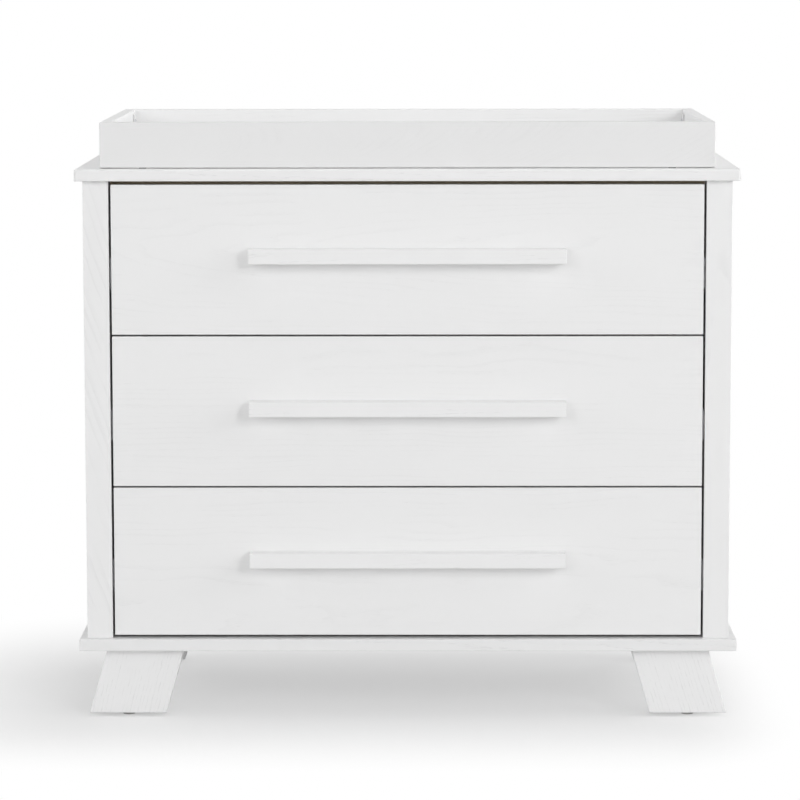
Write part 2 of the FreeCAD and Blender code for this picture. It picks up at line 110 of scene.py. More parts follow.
@dataclass(frozen=True)
class Box:
    """The room that something takes up, from its lowest corner to its highest."""

    low: Vector
    high: Vector

    @classmethod
    def over(cls, spots: Iterable[Iterable[float]]) -> "Box":
        """The box over some points."""
        places = list(zip(*spots))
        return cls(Vector([min(axis) for axis in places]), Vector([max(axis) for axis in places]))

    @property
    def middle(self) -> Vector:
        """The box's centre."""
        return (self.low + self.high) / 2

    def at(self, **places: float) -> Vector:
        """Moves the box's centre.

        Args:
            places: New places along the axes named.

        Returns:
            The point.
        """
        spot = self.middle
        for axis, place in places.items():
            setattr(spot, axis, place)
        return spot

    def run(self, axis: Axis) -> Flat:
        """Where the box starts and ends along an axis."""
        return self.low[axis.value[2]], self.high[axis.value[2]]

    def section(self, axis: Axis) -> list[Flat]:
        """The corners of the box's section across an axis."""
        (left, foot), (right, rim) = ([corner[index] for index in axis.value[:2]] for corner in (self.low, self.high))
        return [(left, foot), (right, foot), (right, rim), (left, rim)]


# ---------------------------------------------------------------- node trees

class Graph:
    """A node tree with short calls for adding nodes and joining them."""

    def __init__(self, tree: bpy.types.NodeTree) -> None:
        """Takes over a tree and clears it."""
        self.tree = tree
        tree.nodes.clear()

    def feed(self, node: bpy.types.Node, feeds: dict[str | int, Value]) -> None:
        """Gives a node's inputs what they take.

        Args:
            node: The node.
            feeds: A value, or another node's output, for each input by name or number.
        """
        for name, value in feeds.items():
            if isinstance(value, Socket):
                self.tree.links.new(value, node.inputs[name])
            else:
                node.inputs[name].default_value = value

    def add(self, kind: str, feeds: dict[str | int, Value] | None = None, **settings: object) -> bpy.types.Node:
        """Adds a node.

        Args:
            kind: The node's type.
            feeds: What its inputs take.
            settings: The node's own properties.

        Returns:
            The new node.
        """
        node = self.tree.nodes.new(kind)
        for name, setting in settings.items():
            setattr(node, name, setting)
        self.feed(node, feeds or {})
        return node

    def maths(self, operation: str, *terms: Value) -> Socket:
        """The result of a Math node."""
        return self.add("ShaderNodeMath", dict(enumerate(terms)), operation=operation).outputs[0]

    def ramp(self, value: Value, low: float, high: float, start: float = 0.0, end: float = 1.0) -> Socket:
        """A smooth step from one value to another while the input goes from low to high."""
        feeds = {"Value": value, "From Min": low, "From Max": high, "To Min": start, "To Max": end}
        return self.add("ShaderNodeMapRange", feeds, interpolation_type="SMOOTHSTEP").outputs[0]

    def stretched(self, vector: Value, scales: Point) -> Socket:
        """Coordinates multiplied by a scale along each axis."""
        return self.add("ShaderNodeVectorMath", {0: vector, 1: scales}, operation="MULTIPLY").outputs[0]

    def shrunk(self, vector: Value, size: Value) -> Socket:
        """Coordinates in units of a size."""
        feeds = {0: vector, "Scale": self.maths("DIVIDE", 1.0, size)}
        return self.add("ShaderNodeVectorMath", feeds, operation="SCALE").outputs[0]

    def noise(self, vector: Value, detail: float = 2.0, roughness: float = 0.5) -> Socket:
        """Noise between 0 and 1 at one cell to a unit of the coordinates."""
        feeds = {"Vector": vector, "Scale": 1.0, "Detail": detail, "Roughness": roughness}
        return self.add("ShaderNodeTexNoise", feeds).outputs[0]

    def blend(self, share: Value, first: Colour, second: Colour) -> Socket:
        """A mix of two colours."""
        return self.add("ShaderNodeMix", {0: share, 6: (*first, 1.0), 7: (*second, 1.0)}, data_type="RGBA").outputs[2]

    def total(self, node: bpy.types.Node, shares: dict[str, float], start: float = 0.0) -> Value:
        """Adds up a node's outputs.

        Args:
            node: The node.
            shares: What each output is multiplied by.
            start: What they are added to.

        Returns:
            The sum.
        """
        whole = start
        for output, share in shares.items():
            whole = self.maths("MULTIPLY_ADD", node.outputs[output], share, whole)
        return whole


class Group(Graph):
    """A node group with named inputs and outputs."""

    def __init__(self, name: str, kind: str, inputs: dict[str, str | float]) -> None:
        """Makes the group.

        Args:
            name: The group's name.
            kind: Its tree's type.
            inputs: Each input's socket type, or a number's usual value.
        """
        super().__init__(bpy.data.node_groups.new(name, kind))
        for label, what in inputs.items():
            named = isinstance(what, str)
            sort = "NodeSocket" + (what if named else "Float")
            socket = self.tree.interface.new_socket(label, in_out="INPUT", socket_type=sort)
            if not named:
                socket.default_value = what
        self.given = {socket.name: socket for socket in self.add("NodeGroupInput").outputs if socket.name}

    def close(self, kind: str, outputs: dict[str, Socket]) -> bpy.types.NodeTree:
        """Gives the group its outputs.

        Args:
            kind: Their socket type.
            outputs: What each puts out.

        Returns:
            The group's tree.
        """
        for label in outputs:
            self.tree.interface.new_socket(label, in_out="OUTPUT", socket_type="NodeSocket" + kind)
        self.add("NodeGroupOutput", outputs)
        return self.tree


class Cells(Enum):
    """Cells of noise to a metre, along the grain and across it."""

    SLOW_SWAY = (3.2, 11.0)
    QUICK_SWAY = (14.0, 60.0)
    PATCHES = (8.0, 26.0)
    PITS = (95.0, 1150.0)
    FIBRES = (30.0, 700.0)
    TONE = (2.0, 7.0)


@dataclass(frozen=True)
class Grain:
    """Growth rings round a pith, with the open pores and fibres of the wood.

    Args:
        quick_share: Share of the quick sway in the rings' wandering.
        year_cells: Cells of noise to a year, for years of different widths.
        year_change: How far that noise shifts them, in years.
        onset: Share of a year over which its line sets in.
        fading: Shares of a year between which the line fades out.
        patches: Noise between which the lines come through.
        lines: Strength of the lines between which the pores come through.
        faint: What is left of lines and pores elsewhere.
        pore_limit: Noise above which there are pores, without any cover.
        cover_drop: How far full cover lowers that limit.
        pore_edge: Noise over which a pore deepens.
        fibre_roughness: Roughness of the fibres' noise.
    """

    quick_share: float = 0.20
    year_cells: float = 0.7
    year_change: float = 1.6
    onset: float = 0.06
    fading: Flat = (0.04, 0.5)
    patches: Flat = (0.40, 0.62)
    lines: Flat = (0.02, 0.5)
    faint: float = 0.05
    pore_limit: float = 0.74
    cover_drop: float = 0.2
    pore_edge: float = 0.08
    fibre_roughness: float = 0.6

    def build(self) -> bpy.types.NodeTree:
        """Builds the node group.

        Returns:
            A group that takes coordinates with X along the grain, counted from the pith.
        """
        graph = Group("wood_grain", "ShaderNodeTree", {
            "Vector": "Vector", "Ring Width": 0.005, "Wander": 0.012, "Pore Cover": 0.5})
        figure = self.figure(graph)
        limit = graph.maths("MULTIPLY_ADD", graph.given["Pore Cover"], -self.cover_drop, self.pore_limit)
        pits = graph.maths("SUBTRACT", self.noise(graph, Cells.PITS, 0.0), limit)
        open_wood = graph.ramp(figure, *self.lines, self.faint, 1.0)
        return graph.close("Float", {
            "Figure": figure,
            "Pores": graph.maths("MULTIPLY", graph.ramp(pits, 0.0, self.pore_edge), open_wood),
            "Fibre": self.noise(graph, Cells.FIBRES, 2.0, self.fibre_roughness),
            "Tone": self.noise(graph, Cells.TONE)})

    def noise(self, graph: Group, cells: Cells, detail: float = 2.0, roughness: float = 0.5) -> Socket:
        """Noise drawn out along the grain."""
        along, across = cells.value
        return graph.noise(graph.stretched(graph.given["Vector"], (along, across, across)), detail, roughness)

    def figure(self, graph: Group) -> Socket:
        """Draws the year rings, wandering and of different widths.

        Args:
            graph: The group.

        Returns:
            The strength of their lines.
        """
        split = graph.add("ShaderNodeSeparateXYZ", {0: graph.given["Vector"]}).outputs
        squares = [graph.maths("POWER", split[axis], 2.0) for axis in (1, 2)]
        radius = graph.maths("SQRT", graph.maths("ADD", *squares))
        slow, quick = (
            graph.maths("SUBTRACT", self.noise(graph, cells), 0.5) for cells in (Cells.SLOW_SWAY, Cells.QUICK_SWAY))
        sway = graph.maths("MULTIPLY_ADD", quick, self.quick_share, slow)
        bent = graph.maths("MULTIPLY_ADD", sway, graph.given["Wander"], radius)
        turns = graph.maths("DIVIDE", bent, graph.given["Ring Width"])
        years = graph.add("ShaderNodeCombineXYZ", {0: graph.maths("MULTIPLY", turns, self.year_cells)}).outputs[0]
        phase = graph.maths("FRACT", graph.maths("MULTIPLY_ADD", graph.noise(years, 1.0), self.year_change, turns))
        line = graph.maths("MULTIPLY", graph.ramp(phase, *self.fading, 1.0, 0.0), graph.ramp(phase, 0.0, self.onset))
        strength = graph.ramp(self.noise(graph, Cells.PATCHES), *self.patches, self.faint, 1.0)
        return graph.maths("MULTIPLY", line, strength)


def mottle_group() -> bpy.types.NodeTree:
    """Builds the fine and coarse unevenness of a sprayed, moulded or faced skin.

    Returns:
        A group that takes coordinates and the two sizes.
    """
    graph = Group("skin_mottle", "ShaderNodeTree", {"Vector": "Vector", "Fine Size": 0.0008, "Coarse Size": 0.02})
    return graph.close("Float", {
        label: graph.noise(graph.shrunk(graph.given["Vector"], graph.given[label + " Size"]), detail)
        for label, detail in (("Fine", 2.0), ("Coarse", 3.0))})


def brushed_group() -> bpy.types.NodeTree:
    """Builds the drawn streaks along Y of rolled steel, with soft clouds of plating.

    Returns:
        A group that takes coordinates and the streaks' width.
    """
    streak_cells, cloud_cells = (1.0, 0.02, 1.0), (60.0, 25.0, 60.0)
    graph = Group("drawn_steel", "ShaderNodeTree", {"Vector": "Vector", "Fine Size": 0.0004})
    streaks = graph.stretched(graph.shrunk(graph.given["Vector"], graph.given["Fine Size"]), streak_cells)
    clouds = graph.stretched(graph.given["Vector"], cloud_cells)
    return graph.close("Float", {"Fine": graph.noise(streaks, 2.0), "Coarse": graph.noise(clouds, 3.0)})


GRAIN = Grain().build()
MOTTLE = mottle_group()
STEEL = brushed_group()


class Surface(Graph):
    """A material with its Principled shader, reading object coordinates."""

    def __init__(self, name: str, **constants: object) -> None:
        """Makes the material.

        Args:
            name: The material's name.
            constants: Values set on the shader's own sockets, spaces written as underscores.
        """
        self.material = bpy.data.materials.new(name)
        self.material.use_nodes = True
        super().__init__(self.material.node_tree)
        names = {key.replace("_", " "): value for key, value in constants.items()}
        self.shader = self.add("ShaderNodeBsdfPrincipled", names)
        self.add("ShaderNodeOutputMaterial", {0: self.shader.outputs[0]})
        self.spot = self.add("ShaderNodeTexCoord").outputs["Object"]

    def dress(self, colour: Value, roughness: Value, height: Value, depth: float) -> bpy.types.Material:
        """Joins what varies over the surface to the shader.

        Args:
            colour: The base colour.
            roughness: The roughness.
            height: The relief, from 0 to 1.
            depth: How deep that relief is, in metres.

        Returns:
            The finished material.
        """
        bump = self.add("ShaderNodeBump", {"Height": height, "Distance": depth, "Strength": 1.0}).outputs[0]
        self.feed(self.shader, {"Base Color": colour, "Roughness": roughness, "Normal": bump})
        return self.material


# ---------------------------------------------------------------- finishes

@dataclass(frozen=True)
class Cut:
    """How a board was cut from its log, which decides the figure on its faces.

    Args:
        grain: The way the grain runs.
        centre: Where on the board the figure is counted from.
        pith: How far the log's pith lies from there, along the two directions across the grain.
        lean: Slope of the pith against the board in those directions, as rise over run.
    """

    grain: Point
    centre: Point
    pith: Flat
    lean: Flat

    @classmethod
    def chosen(cls, name: str, grain: Point, middle: Vector) -> "Cut":
        """Chooses a cut by a board's name, so that each board has its own figure.

        Args:
            name: The board's name.
            grain: The way its grain runs.
            middle: The board's centre.

        Returns:
            The cut.
        """
        draw = Random(name)
        centre = tuple(middle + Vector([draw.uniform(-0.15, 0.15) for _ in range(3)]))
        pith = (draw.uniform(-0.05, 0.05), draw.choice((-1, 1)) * draw.uniform(0.02, 0.07))
        lean = (draw.uniform(-0.02, 0.02), draw.choice((-1, 1)) * draw.uniform(0.02, 0.06))
        return cls(grain, centre, pith, lean)

    def mapping(self) -> tuple[Point, Point]:
        """Turns the board's coordinates into the log's.

        Returns:
            Location and rotation of a Mapping node.
        """
        along = Vector(self.grain).normalized()
        aside = Vector(Axis.Y.way if abs(along.y) < 0.9 else Axis.Z.way)
        across = aside.cross(along).normalized()
        turn = Matrix((along, across, along.cross(across)))
        tilt = Euler((0.0, -math.atan(self.lean[1]), math.atan(self.lean[0]))).to_matrix()
        whole = tilt @ turn
        shift = Vector((0.0, *self.pith)) - whole @ Vector(self.centre)
        return tuple(shift), tuple(whole.to_euler())


@dataclass(frozen=True)
class PaintedWood:
    """White paint, thin enough for rings and open pores to show.

    Args:
        slot: The finish's slot.
        paint: Colour of the paint.
        shaded: Colour towards which the figure, pores, fibres and tone darken it, by their shares.
        figure: Share of the rings.
        pores: Share of the pores.
        fibre: Share of the fibres.
        tone: Share of the slow change of tone.
        gloss: Roughness between the pores.
        pore_gloss: How much rougher the pores are.
        pore_depth: Depth of the relief.
        ring_relief: Share of that depth that the rings have.
        fibre_relief: Share of that depth that the fibres have.
        pore_cover: How much of the early wood is pores.
        ring_width: Width of a year's ring.
        wander: How far the rings stray.
    """

    slot: str = "painted_wood"
    paint: Colour = (0.86, 0.86, 0.86)
    shaded: Colour = (0.70, 0.70, 0.70)
    figure: float = 0.10
    pores: float = 0.16
    fibre: float = 0.05
    tone: float = 0.12
    gloss: float = 0.40
    pore_gloss: float = 0.2
    pore_depth: float = 0.000014
    ring_relief: float = 0.25
    fibre_relief: float = 0.12
    pore_cover: float = 0.4
    ring_width: float = 0.007
    wander: float = 0.028

    def material(self, name: str, cut: Cut) -> bpy.types.Material:
        """Makes the finish for one board.

        Args:
            name: The board's name.
            cut: How the board was cut.

        Returns:
            The material.
        """
        surface = Surface("paint_" + name, IOR=1.46)
        place, turn = cut.mapping()
        spot = surface.add("ShaderNodeMapping", {"Vector": surface.spot, "Location": place, "Rotation": turn})
        wood = surface.add("ShaderNodeGroup", {
            "Vector": spot.outputs[0], "Ring Width": self.ring_width, "Wander": self.wander,
            "Pore Cover": self.pore_cover}, node_tree=GRAIN)
        shade = surface.total(wood, {
            "Figure": self.figure, "Pores": self.pores, "Fibre": self.fibre, "Tone": self.tone})
        roughness = surface.total(wood, {"Pores": self.pore_gloss}, self.gloss)
        relief = surface.total(wood, {"Pores": -1.0, "Figure": -self.ring_relief, "Fibre": self.fibre_relief}, 1.0)
        return surface.dress(surface.blend(shade, self.paint, self.shaded), roughness, relief, self.pore_depth)


@dataclass(frozen=True)
class BareWood(PaintedWood):
    """Planed wood, bare or clear-lacquered."""

    slot: str = "drawer_wood"
    paint: Colour = (0.80, 0.70, 0.55)
    shaded: Colour = (0.52, 0.37, 0.22)
    figure: float = 0.5
    pores: float = 0.35
    fibre: float = 0.22
    tone: float = 0.3
    pore_depth: float = 0.00003
    ring_width: float = 0.005
    wander: float = 0.016


@dataclass(frozen=True)
class Skin:
    """An even finish with a fine texture: powder coat, nylon, rubber or faced board.

    Args:
        slot: The finish's slot.
        name: The material's name.
        colour: Its colour.
        shaded: Its colour in the clouds.
        gloss: Its least roughness.
        fine: Size of the fine texture.
        depth: Depth of that texture.
    """

    slot: str
    name: str
    colour: Colour
    shaded: Colour
    gloss: float
    fine: float = 0.0004
    depth: float = 0.00001
    texture: ClassVar[bpy.types.NodeTree] = MOTTLE
    metallic: ClassVar[float] = 0.0
    unevenness: ClassVar[dict[str, float]] = {"Coarse": 0.12}
    cloud_edge: ClassVar[Flat] = (0.3, 0.7)

    def material(self) -> bpy.types.Material:
        """Makes the finish.

        Returns:
            The material.
        """
        surface = Surface(self.name, Metallic=self.metallic)
        skin = surface.add("ShaderNodeGroup", {"Vector": surface.spot, "Fine Size": self.fine}, node_tree=self.texture)
        colour = surface.blend(surface.ramp(skin.outputs["Coarse"], *self.cloud_edge), self.colour, self.shaded)
        roughness = surface.total(skin, self.unevenness, self.gloss)
        return surface.dress(colour, roughness, skin.outputs["Fine"], self.depth)


@dataclass(frozen=True)
class Metal(Skin):
    """Plated or polished steel."""

    texture: ClassVar[bpy.types.NodeTree] = STEEL
    metallic: ClassVar[float] = 1.0
    unevenness: ClassVar[dict[str, float]] = {"Fine": 0.2}


def grey(level: float) -> Colour:
    """A neutral colour."""
    return level, level, level


OPEN_PORED = {"pores": 0.42, "pore_cover": 0.75, "ring_width": 0.005, "wander": 0.016, "pore_depth": 0.000022}

PAINT = PaintedWood()
EDGE_PAINT = PaintedWood(**OPEN_PORED)
BASE_PAINT = PaintedWood(paint=grey(0.83), **OPEN_PORED)
POST_PAINT = PaintedWood(figure=0.22, ring_width=0.012, wander=0.024)
# Painted light: the tray's sides and back take a lighter copy of the paint, for the light bounced about inside the
# tray.
TRAY_PAINT_PAINTED_LIGHT = PaintedWood(paint=grey(0.92), ring_width=0.0035, wander=0.016)
# Painted shade: the tray's front board takes a greyer copy of the same paint.
TRAY_FACE_PAINTED_SHADE = PaintedWood(paint=grey(0.80), ring_width=0.0035, wander=0.016)
BOX_WOOD = BareWood()
SAWN_WOOD = BareWood(slot="plain_wood", paint=(0.78, 0.66, 0.48), gloss=0.62, ring_width=0.004)
BACK_BOARD = Skin("back_board", "back_board_face", (0.83, 0.83, 0.82), (0.815, 0.815, 0.805), 0.6, 0.0012, 0.00002)
POWDER_COAT = Skin("bracket_paint", "powder_coat", grey(0.86), grey(0.83), 0.38, 0.0006, 0.00003)
NYLON = Skin("glide_nylon", "glide_nylon_skin", (0.60, 0.59, 0.57), (0.55, 0.54, 0.52), 0.42, 0.0005, 0.00001)
RUBBER = Skin("pad_rubber", "pad_rubber_skin", grey(0.20), grey(0.16), 0.75, 0.0007, 0.00004)
ZINC = Metal("runner_steel", "runner_zinc", (0.66, 0.67, 0.69), (0.58, 0.59, 0.62), 0.3)
SCREW_ZINC = Metal("fixing_steel", "screw_zinc", (0.64, 0.65, 0.66), (0.55, 0.56, 0.58), 0.28, 0.0002)
BALL_STEEL = Metal("ball_cage", "ball_steel", (0.78, 0.79, 0.80), (0.74, 0.75, 0.76), 0.12, 0.0003, 0.000002)


# ---------------------------------------------------------------- shapes

def show(thing: Piece) -> Piece:
    """Puts an object in the scene and returns it."""
    bpy.context.scene.collection.objects.link(thing)
    return thing


def link(name: str, shape: Shape) -> Piece:
    """Turns a bmesh into an object in the scene and frees it.

    Args:
        name: The object's name.
        shape: Its shape.

    Returns:
        The object.
    """
    mesh = bpy.data.meshes.new(name)
    shape.to_mesh(mesh)
    shape.free()
    return show(bpy.data.objects.new(name, mesh))


def drop(piece: Piece) -> None:
    """Removes an object and its mesh.

    Args:
        piece: The object.
    """
    mesh = piece.data
    bpy.data.objects.remove(piece)
    bpy.data.meshes.remove(mesh)


def bake(piece: Piece) -> Piece:
    """Applies a piece's modifiers.

    Args:
        piece: The piece.

    Returns:
        The piece.
    """
    graph = bpy.context.evaluated_depsgraph_get()
    mesh = bpy.data.meshes.new_from_object(piece.evaluated_get(graph), depsgraph=graph)
    piece.modifiers.clear()
    raw = piece.data
    piece.data = mesh
    bpy.data.meshes.remove(raw)
    mesh.name = piece.name
    return piece


def smooth(piece: Piece, crisp: float) -> Piece:
    """Shades a piece smoothly over its small facets while its broad faces stay flat.

    Args:
        piece: The piece.
        crisp: The angle, in degrees, from which an edge stays crisp.

    Returns:
        The piece.
    """
    piece.data.shade_smooth()
    piece.data.set_sharp_from_angle(angle=math.radians(crisp))
    weighted = piece.modifiers.new("weigh", "WEIGHTED_NORMAL")
    weighted.keep_sharp = True
    weighted.weight = FACE_WEIGHT
    return bake(piece)


def rounded(name: str, shape: Shape, radius: float, segments: int,
            share: Callable[[bmesh.types.BMEdge], float]) -> Piece:
    """Rounds a shape's edges, each by its own share of one radius.

    Args:
        name: The new piece's name.
        shape: The shape.
        radius: The radius.
        segments: Number of facets on a rounded edge.
        share: Gives an edge's share.

    Returns:
        The piece.
    """
    layer = shape.edges.layers.float.new("bevel_weight_edge")
    for edge in shape.edges:
        edge[layer] = share(edge)
    piece = link(name, shape)
    bevel = piece.modifiers.new("round", "BEVEL")
    bevel.limit_method = "WEIGHT"
    bevel.width = radius
    bevel.segments = segments
    return bake(piece)


def add_block(shape: Shape, box: Box) -> list[bmesh.types.BMVert]:
    """Adds a plain block to a shape.

    Args:
        shape: The shape.
        box: The block's room.

    Returns:
        Its corners.
    """
    corners = bmesh.ops.create_cube(shape, size=1.0)["verts"]
    for vertex in corners:
        for axis in range(3):
            vertex.co[axis] = box.low[axis] if vertex.co[axis] < 0 else box.high[axis]
    return corners


def block(name: str, box: Box) -> Piece:
    """Makes a plain block for cutting with.

    Args:
        name: The block's name.
        box: Its room.

    Returns:
        The block.
    """
    shape = bmesh.new()
    add_block(shape, box)
    return link(name, shape)


def carve(piece: Piece, cutters: list[Piece]) -> Piece:
    """Cuts other solids out of a piece and removes them.

    Args:
        piece: The piece.
        cutters: What to cut out.

    Returns:
        The piece.
    """
    for cutter in cutters:
        modifier = piece.modifiers.new("cut", "BOOLEAN")
        modifier.operation = "DIFFERENCE"
        modifier.solver = "EXACT"
        modifier.object = cutter
    bake(piece)
    for cutter in cutters:
        drop(cutter)
    return piece


@dataclass
class Blank:
    """A board: an outline run out along an axis, with its outer arrises rounded.

    Args:
        name: The piece's name.
        outline: The section's corners, in order.
        axis: The way that the section runs.
        run: Where the run starts and ends.
        arris: Radius of the rounded edges.
        shares: Share of that radius on faces of the board's box that differ, as axis and end.
        every_edge: Whether the edges inside the box are rounded too.
        cutters: Blocks to cut out.
        segments: Number of facets on a rounded edge.
    """

    name: str
    outline: list[Flat]
    axis: Axis
    run: Flat
    arris: float
    shares: dict[tuple[int, int], float] = field(default_factory=dict)
    every_edge: bool = False
    cutters: list[Box] = field(default_factory=list)
    segments: int = SEEN_FACETS

    def solid(self) -> Shape:
        """Runs the outline out into a closed solid.

        Returns:
            The solid.
        """
        shape = bmesh.new()
        near, far = (
            [shape.verts.new(self.axis.place(across, up, along)) for across, up in self.outline] for along in self.run)
        shape.faces.new(near)
        shape.faces.new(far)
        for index in range(len(near)):
            after = (index + 1) % len(near)
            shape.faces.new((near[index], near[after], far[after], far[index]))
        bmesh.ops.recalc_face_normals(shape, faces=shape.faces)
        return shape

    def share(self, edge: bmesh.types.BMEdge, box: Box) -> float:
        """Weighs an edge: the outer arrises are those on two faces of the box.

        Args:
            edge: The edge.
            box: The board's box.

        Returns:
            Its share of the rounding.
        """
        sides = [
            (axis, end)
            for axis in range(3)
            for end, corner in enumerate((box.low, box.high))
            if all(abs(vertex.co[axis] - corner[axis]) < WELD for vertex in edge.verts)
        ]
        if len(sides) < 2 and not self.every_edge:
            return 0.0
        return min([1.0] + [self.shares[side] for side in sides if side in self.shares])

    def make(self) -> Piece:
        """Makes the board.

        Returns:
            The piece.
        """
        shape = self.solid()
        box = Box.over(vertex.co for vertex in shape.verts)
        piece = rounded(self.name, shape, self.arris, self.segments, lambda edge: self.share(edge, box))
        if self.cutters:
            carve(piece, [block("cutter", cutter) for cutter in self.cutters])
        return smooth(piece, BOARD_CRISP)


@dataclass
class UpperRounded(Blank):
    """A board whose long upper edges take the whole radius, and whose other outer edges take their shares."""

    def share(self, edge: bmesh.types.BMEdge, box: Box) -> float:
        """Weighs an edge as any board does, unless it is a long upper one.

        Args:
            edge: The edge.
            box: The board's box.

        Returns:
            Its share of the rounding.
        """
        first, second = (vertex.co for vertex in edge.verts)
        along = self.axis.value[2]
        level = all(abs(spot.z - box.high.z) < WELD for spot in (first, second))
        if level and abs(first[along] - second[along]) > WELD:
            return 1.0
        return super().share(edge, box)


def plain_board(node: str, axis: Axis, arris: float, **extras: object) -> Piece:
    """A rectangular board in the place of a node. The extras are a blank's other fields."""
    box = Box(*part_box(node))
    return Blank(node + "_board", box.section(axis), axis, box.run(axis), arris, **extras).make()


def welded(node: str) -> Shape:
    """Copies a node's mesh and joins its loose triangles.

    Args:
        node: The node.

    Returns:
        The copy.
    """
    shape = bmesh.new()
    shape.from_mesh(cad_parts[node].data)
    bmesh.ops.remove_doubles(shape, verts=shape.verts, dist=WELD)
    return shape


def softened(node: str, name: str) -> Piece:
    """A copy of a node, with its small facets shaded as curves."""
    return smooth(link(name, welded(node)), ROLLED_CRISP)


def solids_of(node: str) -> list[Box]:
    """Finds the separate solids in a node.

    Args:
        node: The node.

    Returns:
        Their boxes, in order of their lowest corners.
    """
    shape = welded(node)
    left = set(shape.verts)
    boxes = []
    while left:
        seen, queue = set(), [left.pop()]
        while queue:
            vertex = queue.pop()
            seen.add(vertex)
            near = {edge.other_vert(vertex) for edge in vertex.link_edges} & left
            left -= near
            queue.extend(near)
        boxes.append(Box.over(vertex.co for vertex in seen))
    shape.free()
    return sorted(boxes, key=lambda box: tuple(round(length, 5) for length in box.low))


def turned(name: str, profile: list[Flat], sides: int) -> Piece:
    """Turns a solid about Z.

    Args:
        name: The object's name.
        profile: Radius and height of each corner, from the axis round to the axis again.
        sides: Number of facets round it.

    Returns:
        The solid.
    """
    shape = bmesh.new()
    spots = [shape.verts.new((radius, 0.0, height)) for radius, height in profile]
    edges = [shape.edges.new(pair) for pair in zip(spots, spots[1:])]
    bmesh.ops.spin(
        shape, geom=spots + edges, cent=(0, 0, 0), axis=(0, 0, 1), angle=2 * math.pi, steps=sides, use_merge=True)
    bmesh.ops.remove_doubles(shape, verts=shape.verts, dist=TOUCH)
    bmesh.ops.recalc_face_normals(shape, faces=shape.faces)
    return link(name, shape)


def dress(piece: Piece, material: bpy.types.Material) -> Piece:
    """Gives a piece its one material.

    Args:
        piece: The piece.
        material: The material.

    Returns:
        The piece.
    """
    piece.data.materials.clear()
    piece.data.materials.append(material)
    return piece


def seat(piece: Piece, body: str, slot: str, *nodes: str) -> None:
    """Hangs a piece on its body and reports it.

    Args:
        piece: The piece.
        body: The body that carries it.
        slot: Its finish's slot. Not used.
        nodes: The nodes that it stands for.
    """
    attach(piece, body)
    if nodes:
        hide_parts(*nodes)
    log.info("%s: %d faces, on %s", piece.name, len(piece.data.polygons), body)


# ---------------------------------------------------------------- fittings set out with geometry nodes

class Layout(Group):
    """A geometry node tree that ends in one realised mesh with a material."""

    def __init__(self, name: str, inputs: dict[str, str]) -> None:
        """Starts the tree with its name and the socket type of each input."""
        super().__init__(name, "GeometryNodeTree", {"Geometry": "Geometry", **inputs, "Finish": "Material"})

    def finish(self, instances: Socket) -> None:
        """Realises the instances and gives them the finish.

        Args:
            instances: The instances.
        """
        real = self.add("GeometryNodeRealizeInstances", {0: instances}).outputs[0]
        finished = self.add("GeometryNodeSetMaterial", {"Geometry": real, "Material": self.given["Finish"]})
        self.close("Geometry", {"Geometry": finished.outputs[0]})

    def lay(self, name: str, points: list[Vector], **values: object) -> Piece:
        """Sets the layout out on points.

        Args:
            name: The new piece's name.
            points: Where the copies go.
            values: The tree's inputs.

        Returns:
            A plain mesh piece.
        """
        shape = bmesh.new()
        for point in points:
            shape.verts.new(point)
        piece = link(name, shape)
        modifier = piece.modifiers.new("layout", "NODES")
        modifier.node_group = self.tree
        for socket in self.tree.interface.items_tree:
            if socket.in_out == "INPUT" and socket.name in values:
                modifier[socket.identifier] = values[socket.name]
        return bake(piece)


class CopyLayout(Layout):
    """Copies of one fitting, aimed along a direction and each turned about it by its own angle."""

    def __init__(self) -> None:
        """Builds the tree."""
        super().__init__("set_out_copies", {"Pattern": "Object", "Aim": "Vector", "Turn": "Float", "Seed": "Int"})
        given = self.given
        pattern = self.add("GeometryNodeObjectInfo", {"Object": given["Pattern"]}, transform_space="ORIGINAL")
        aim = self.add("FunctionNodeAlignRotationToVector", {"Vector": given["Aim"]}, axis="Z")
        spin = self.add("FunctionNodeRandomValue", {3: given["Turn"], "Seed": given["Seed"]}, data_type="FLOAT")
        turn = self.add("FunctionNodeAxisAngleToRotation", {"Axis": Axis.Z.way, "Angle": spin.outputs[1]})
        whole = self.add("FunctionNodeRotateRotation", {0: aim.outputs[0], 1: turn.outputs[0]}, rotation_space="LOCAL")
        copies = self.add("GeometryNodeInstanceOnPoints", {
            "Points": given["Geometry"], "Instance": pattern.outputs["Geometry"], "Rotation": whole.outputs[0]})
        self.finish(copies.outputs[0])


class BallLayout(Layout):
    """Rows of balls that start at points and run along Y."""

    def __init__(self) -> None:
        """Builds the tree."""
        super().__init__("set_out_balls", {"Count": "Int", "Pitch": "Float", "Radius": "Float"})
        given = self.given
        step = self.add("ShaderNodeCombineXYZ", {1: given["Pitch"]})
        line = self.add("GeometryNodeMeshLine", {"Count": given["Count"], "Offset": step.outputs[0]})
        ball = self.add("GeometryNodeMeshIcoSphere", {"Radius": given["Radius"], "Subdivisions": 2})
        even = self.add("GeometryNodeSetShadeSmooth", {0: ball.outputs[0]})
        row = self.add("GeometryNodeInstanceOnPoints", {"Points": line.outputs[0], "Instance": even.outputs[0]})
        rows = self.add("GeometryNodeInstanceOnPoints", {"Points": given["Geometry"], "Instance": row.outputs[0]})
        self.finish(rows.outputs[0])


class Recess(Enum):
    """What a driver grips in a screw's head."""

    CROSS = "cross"
    HEXAGON = "hexagon"


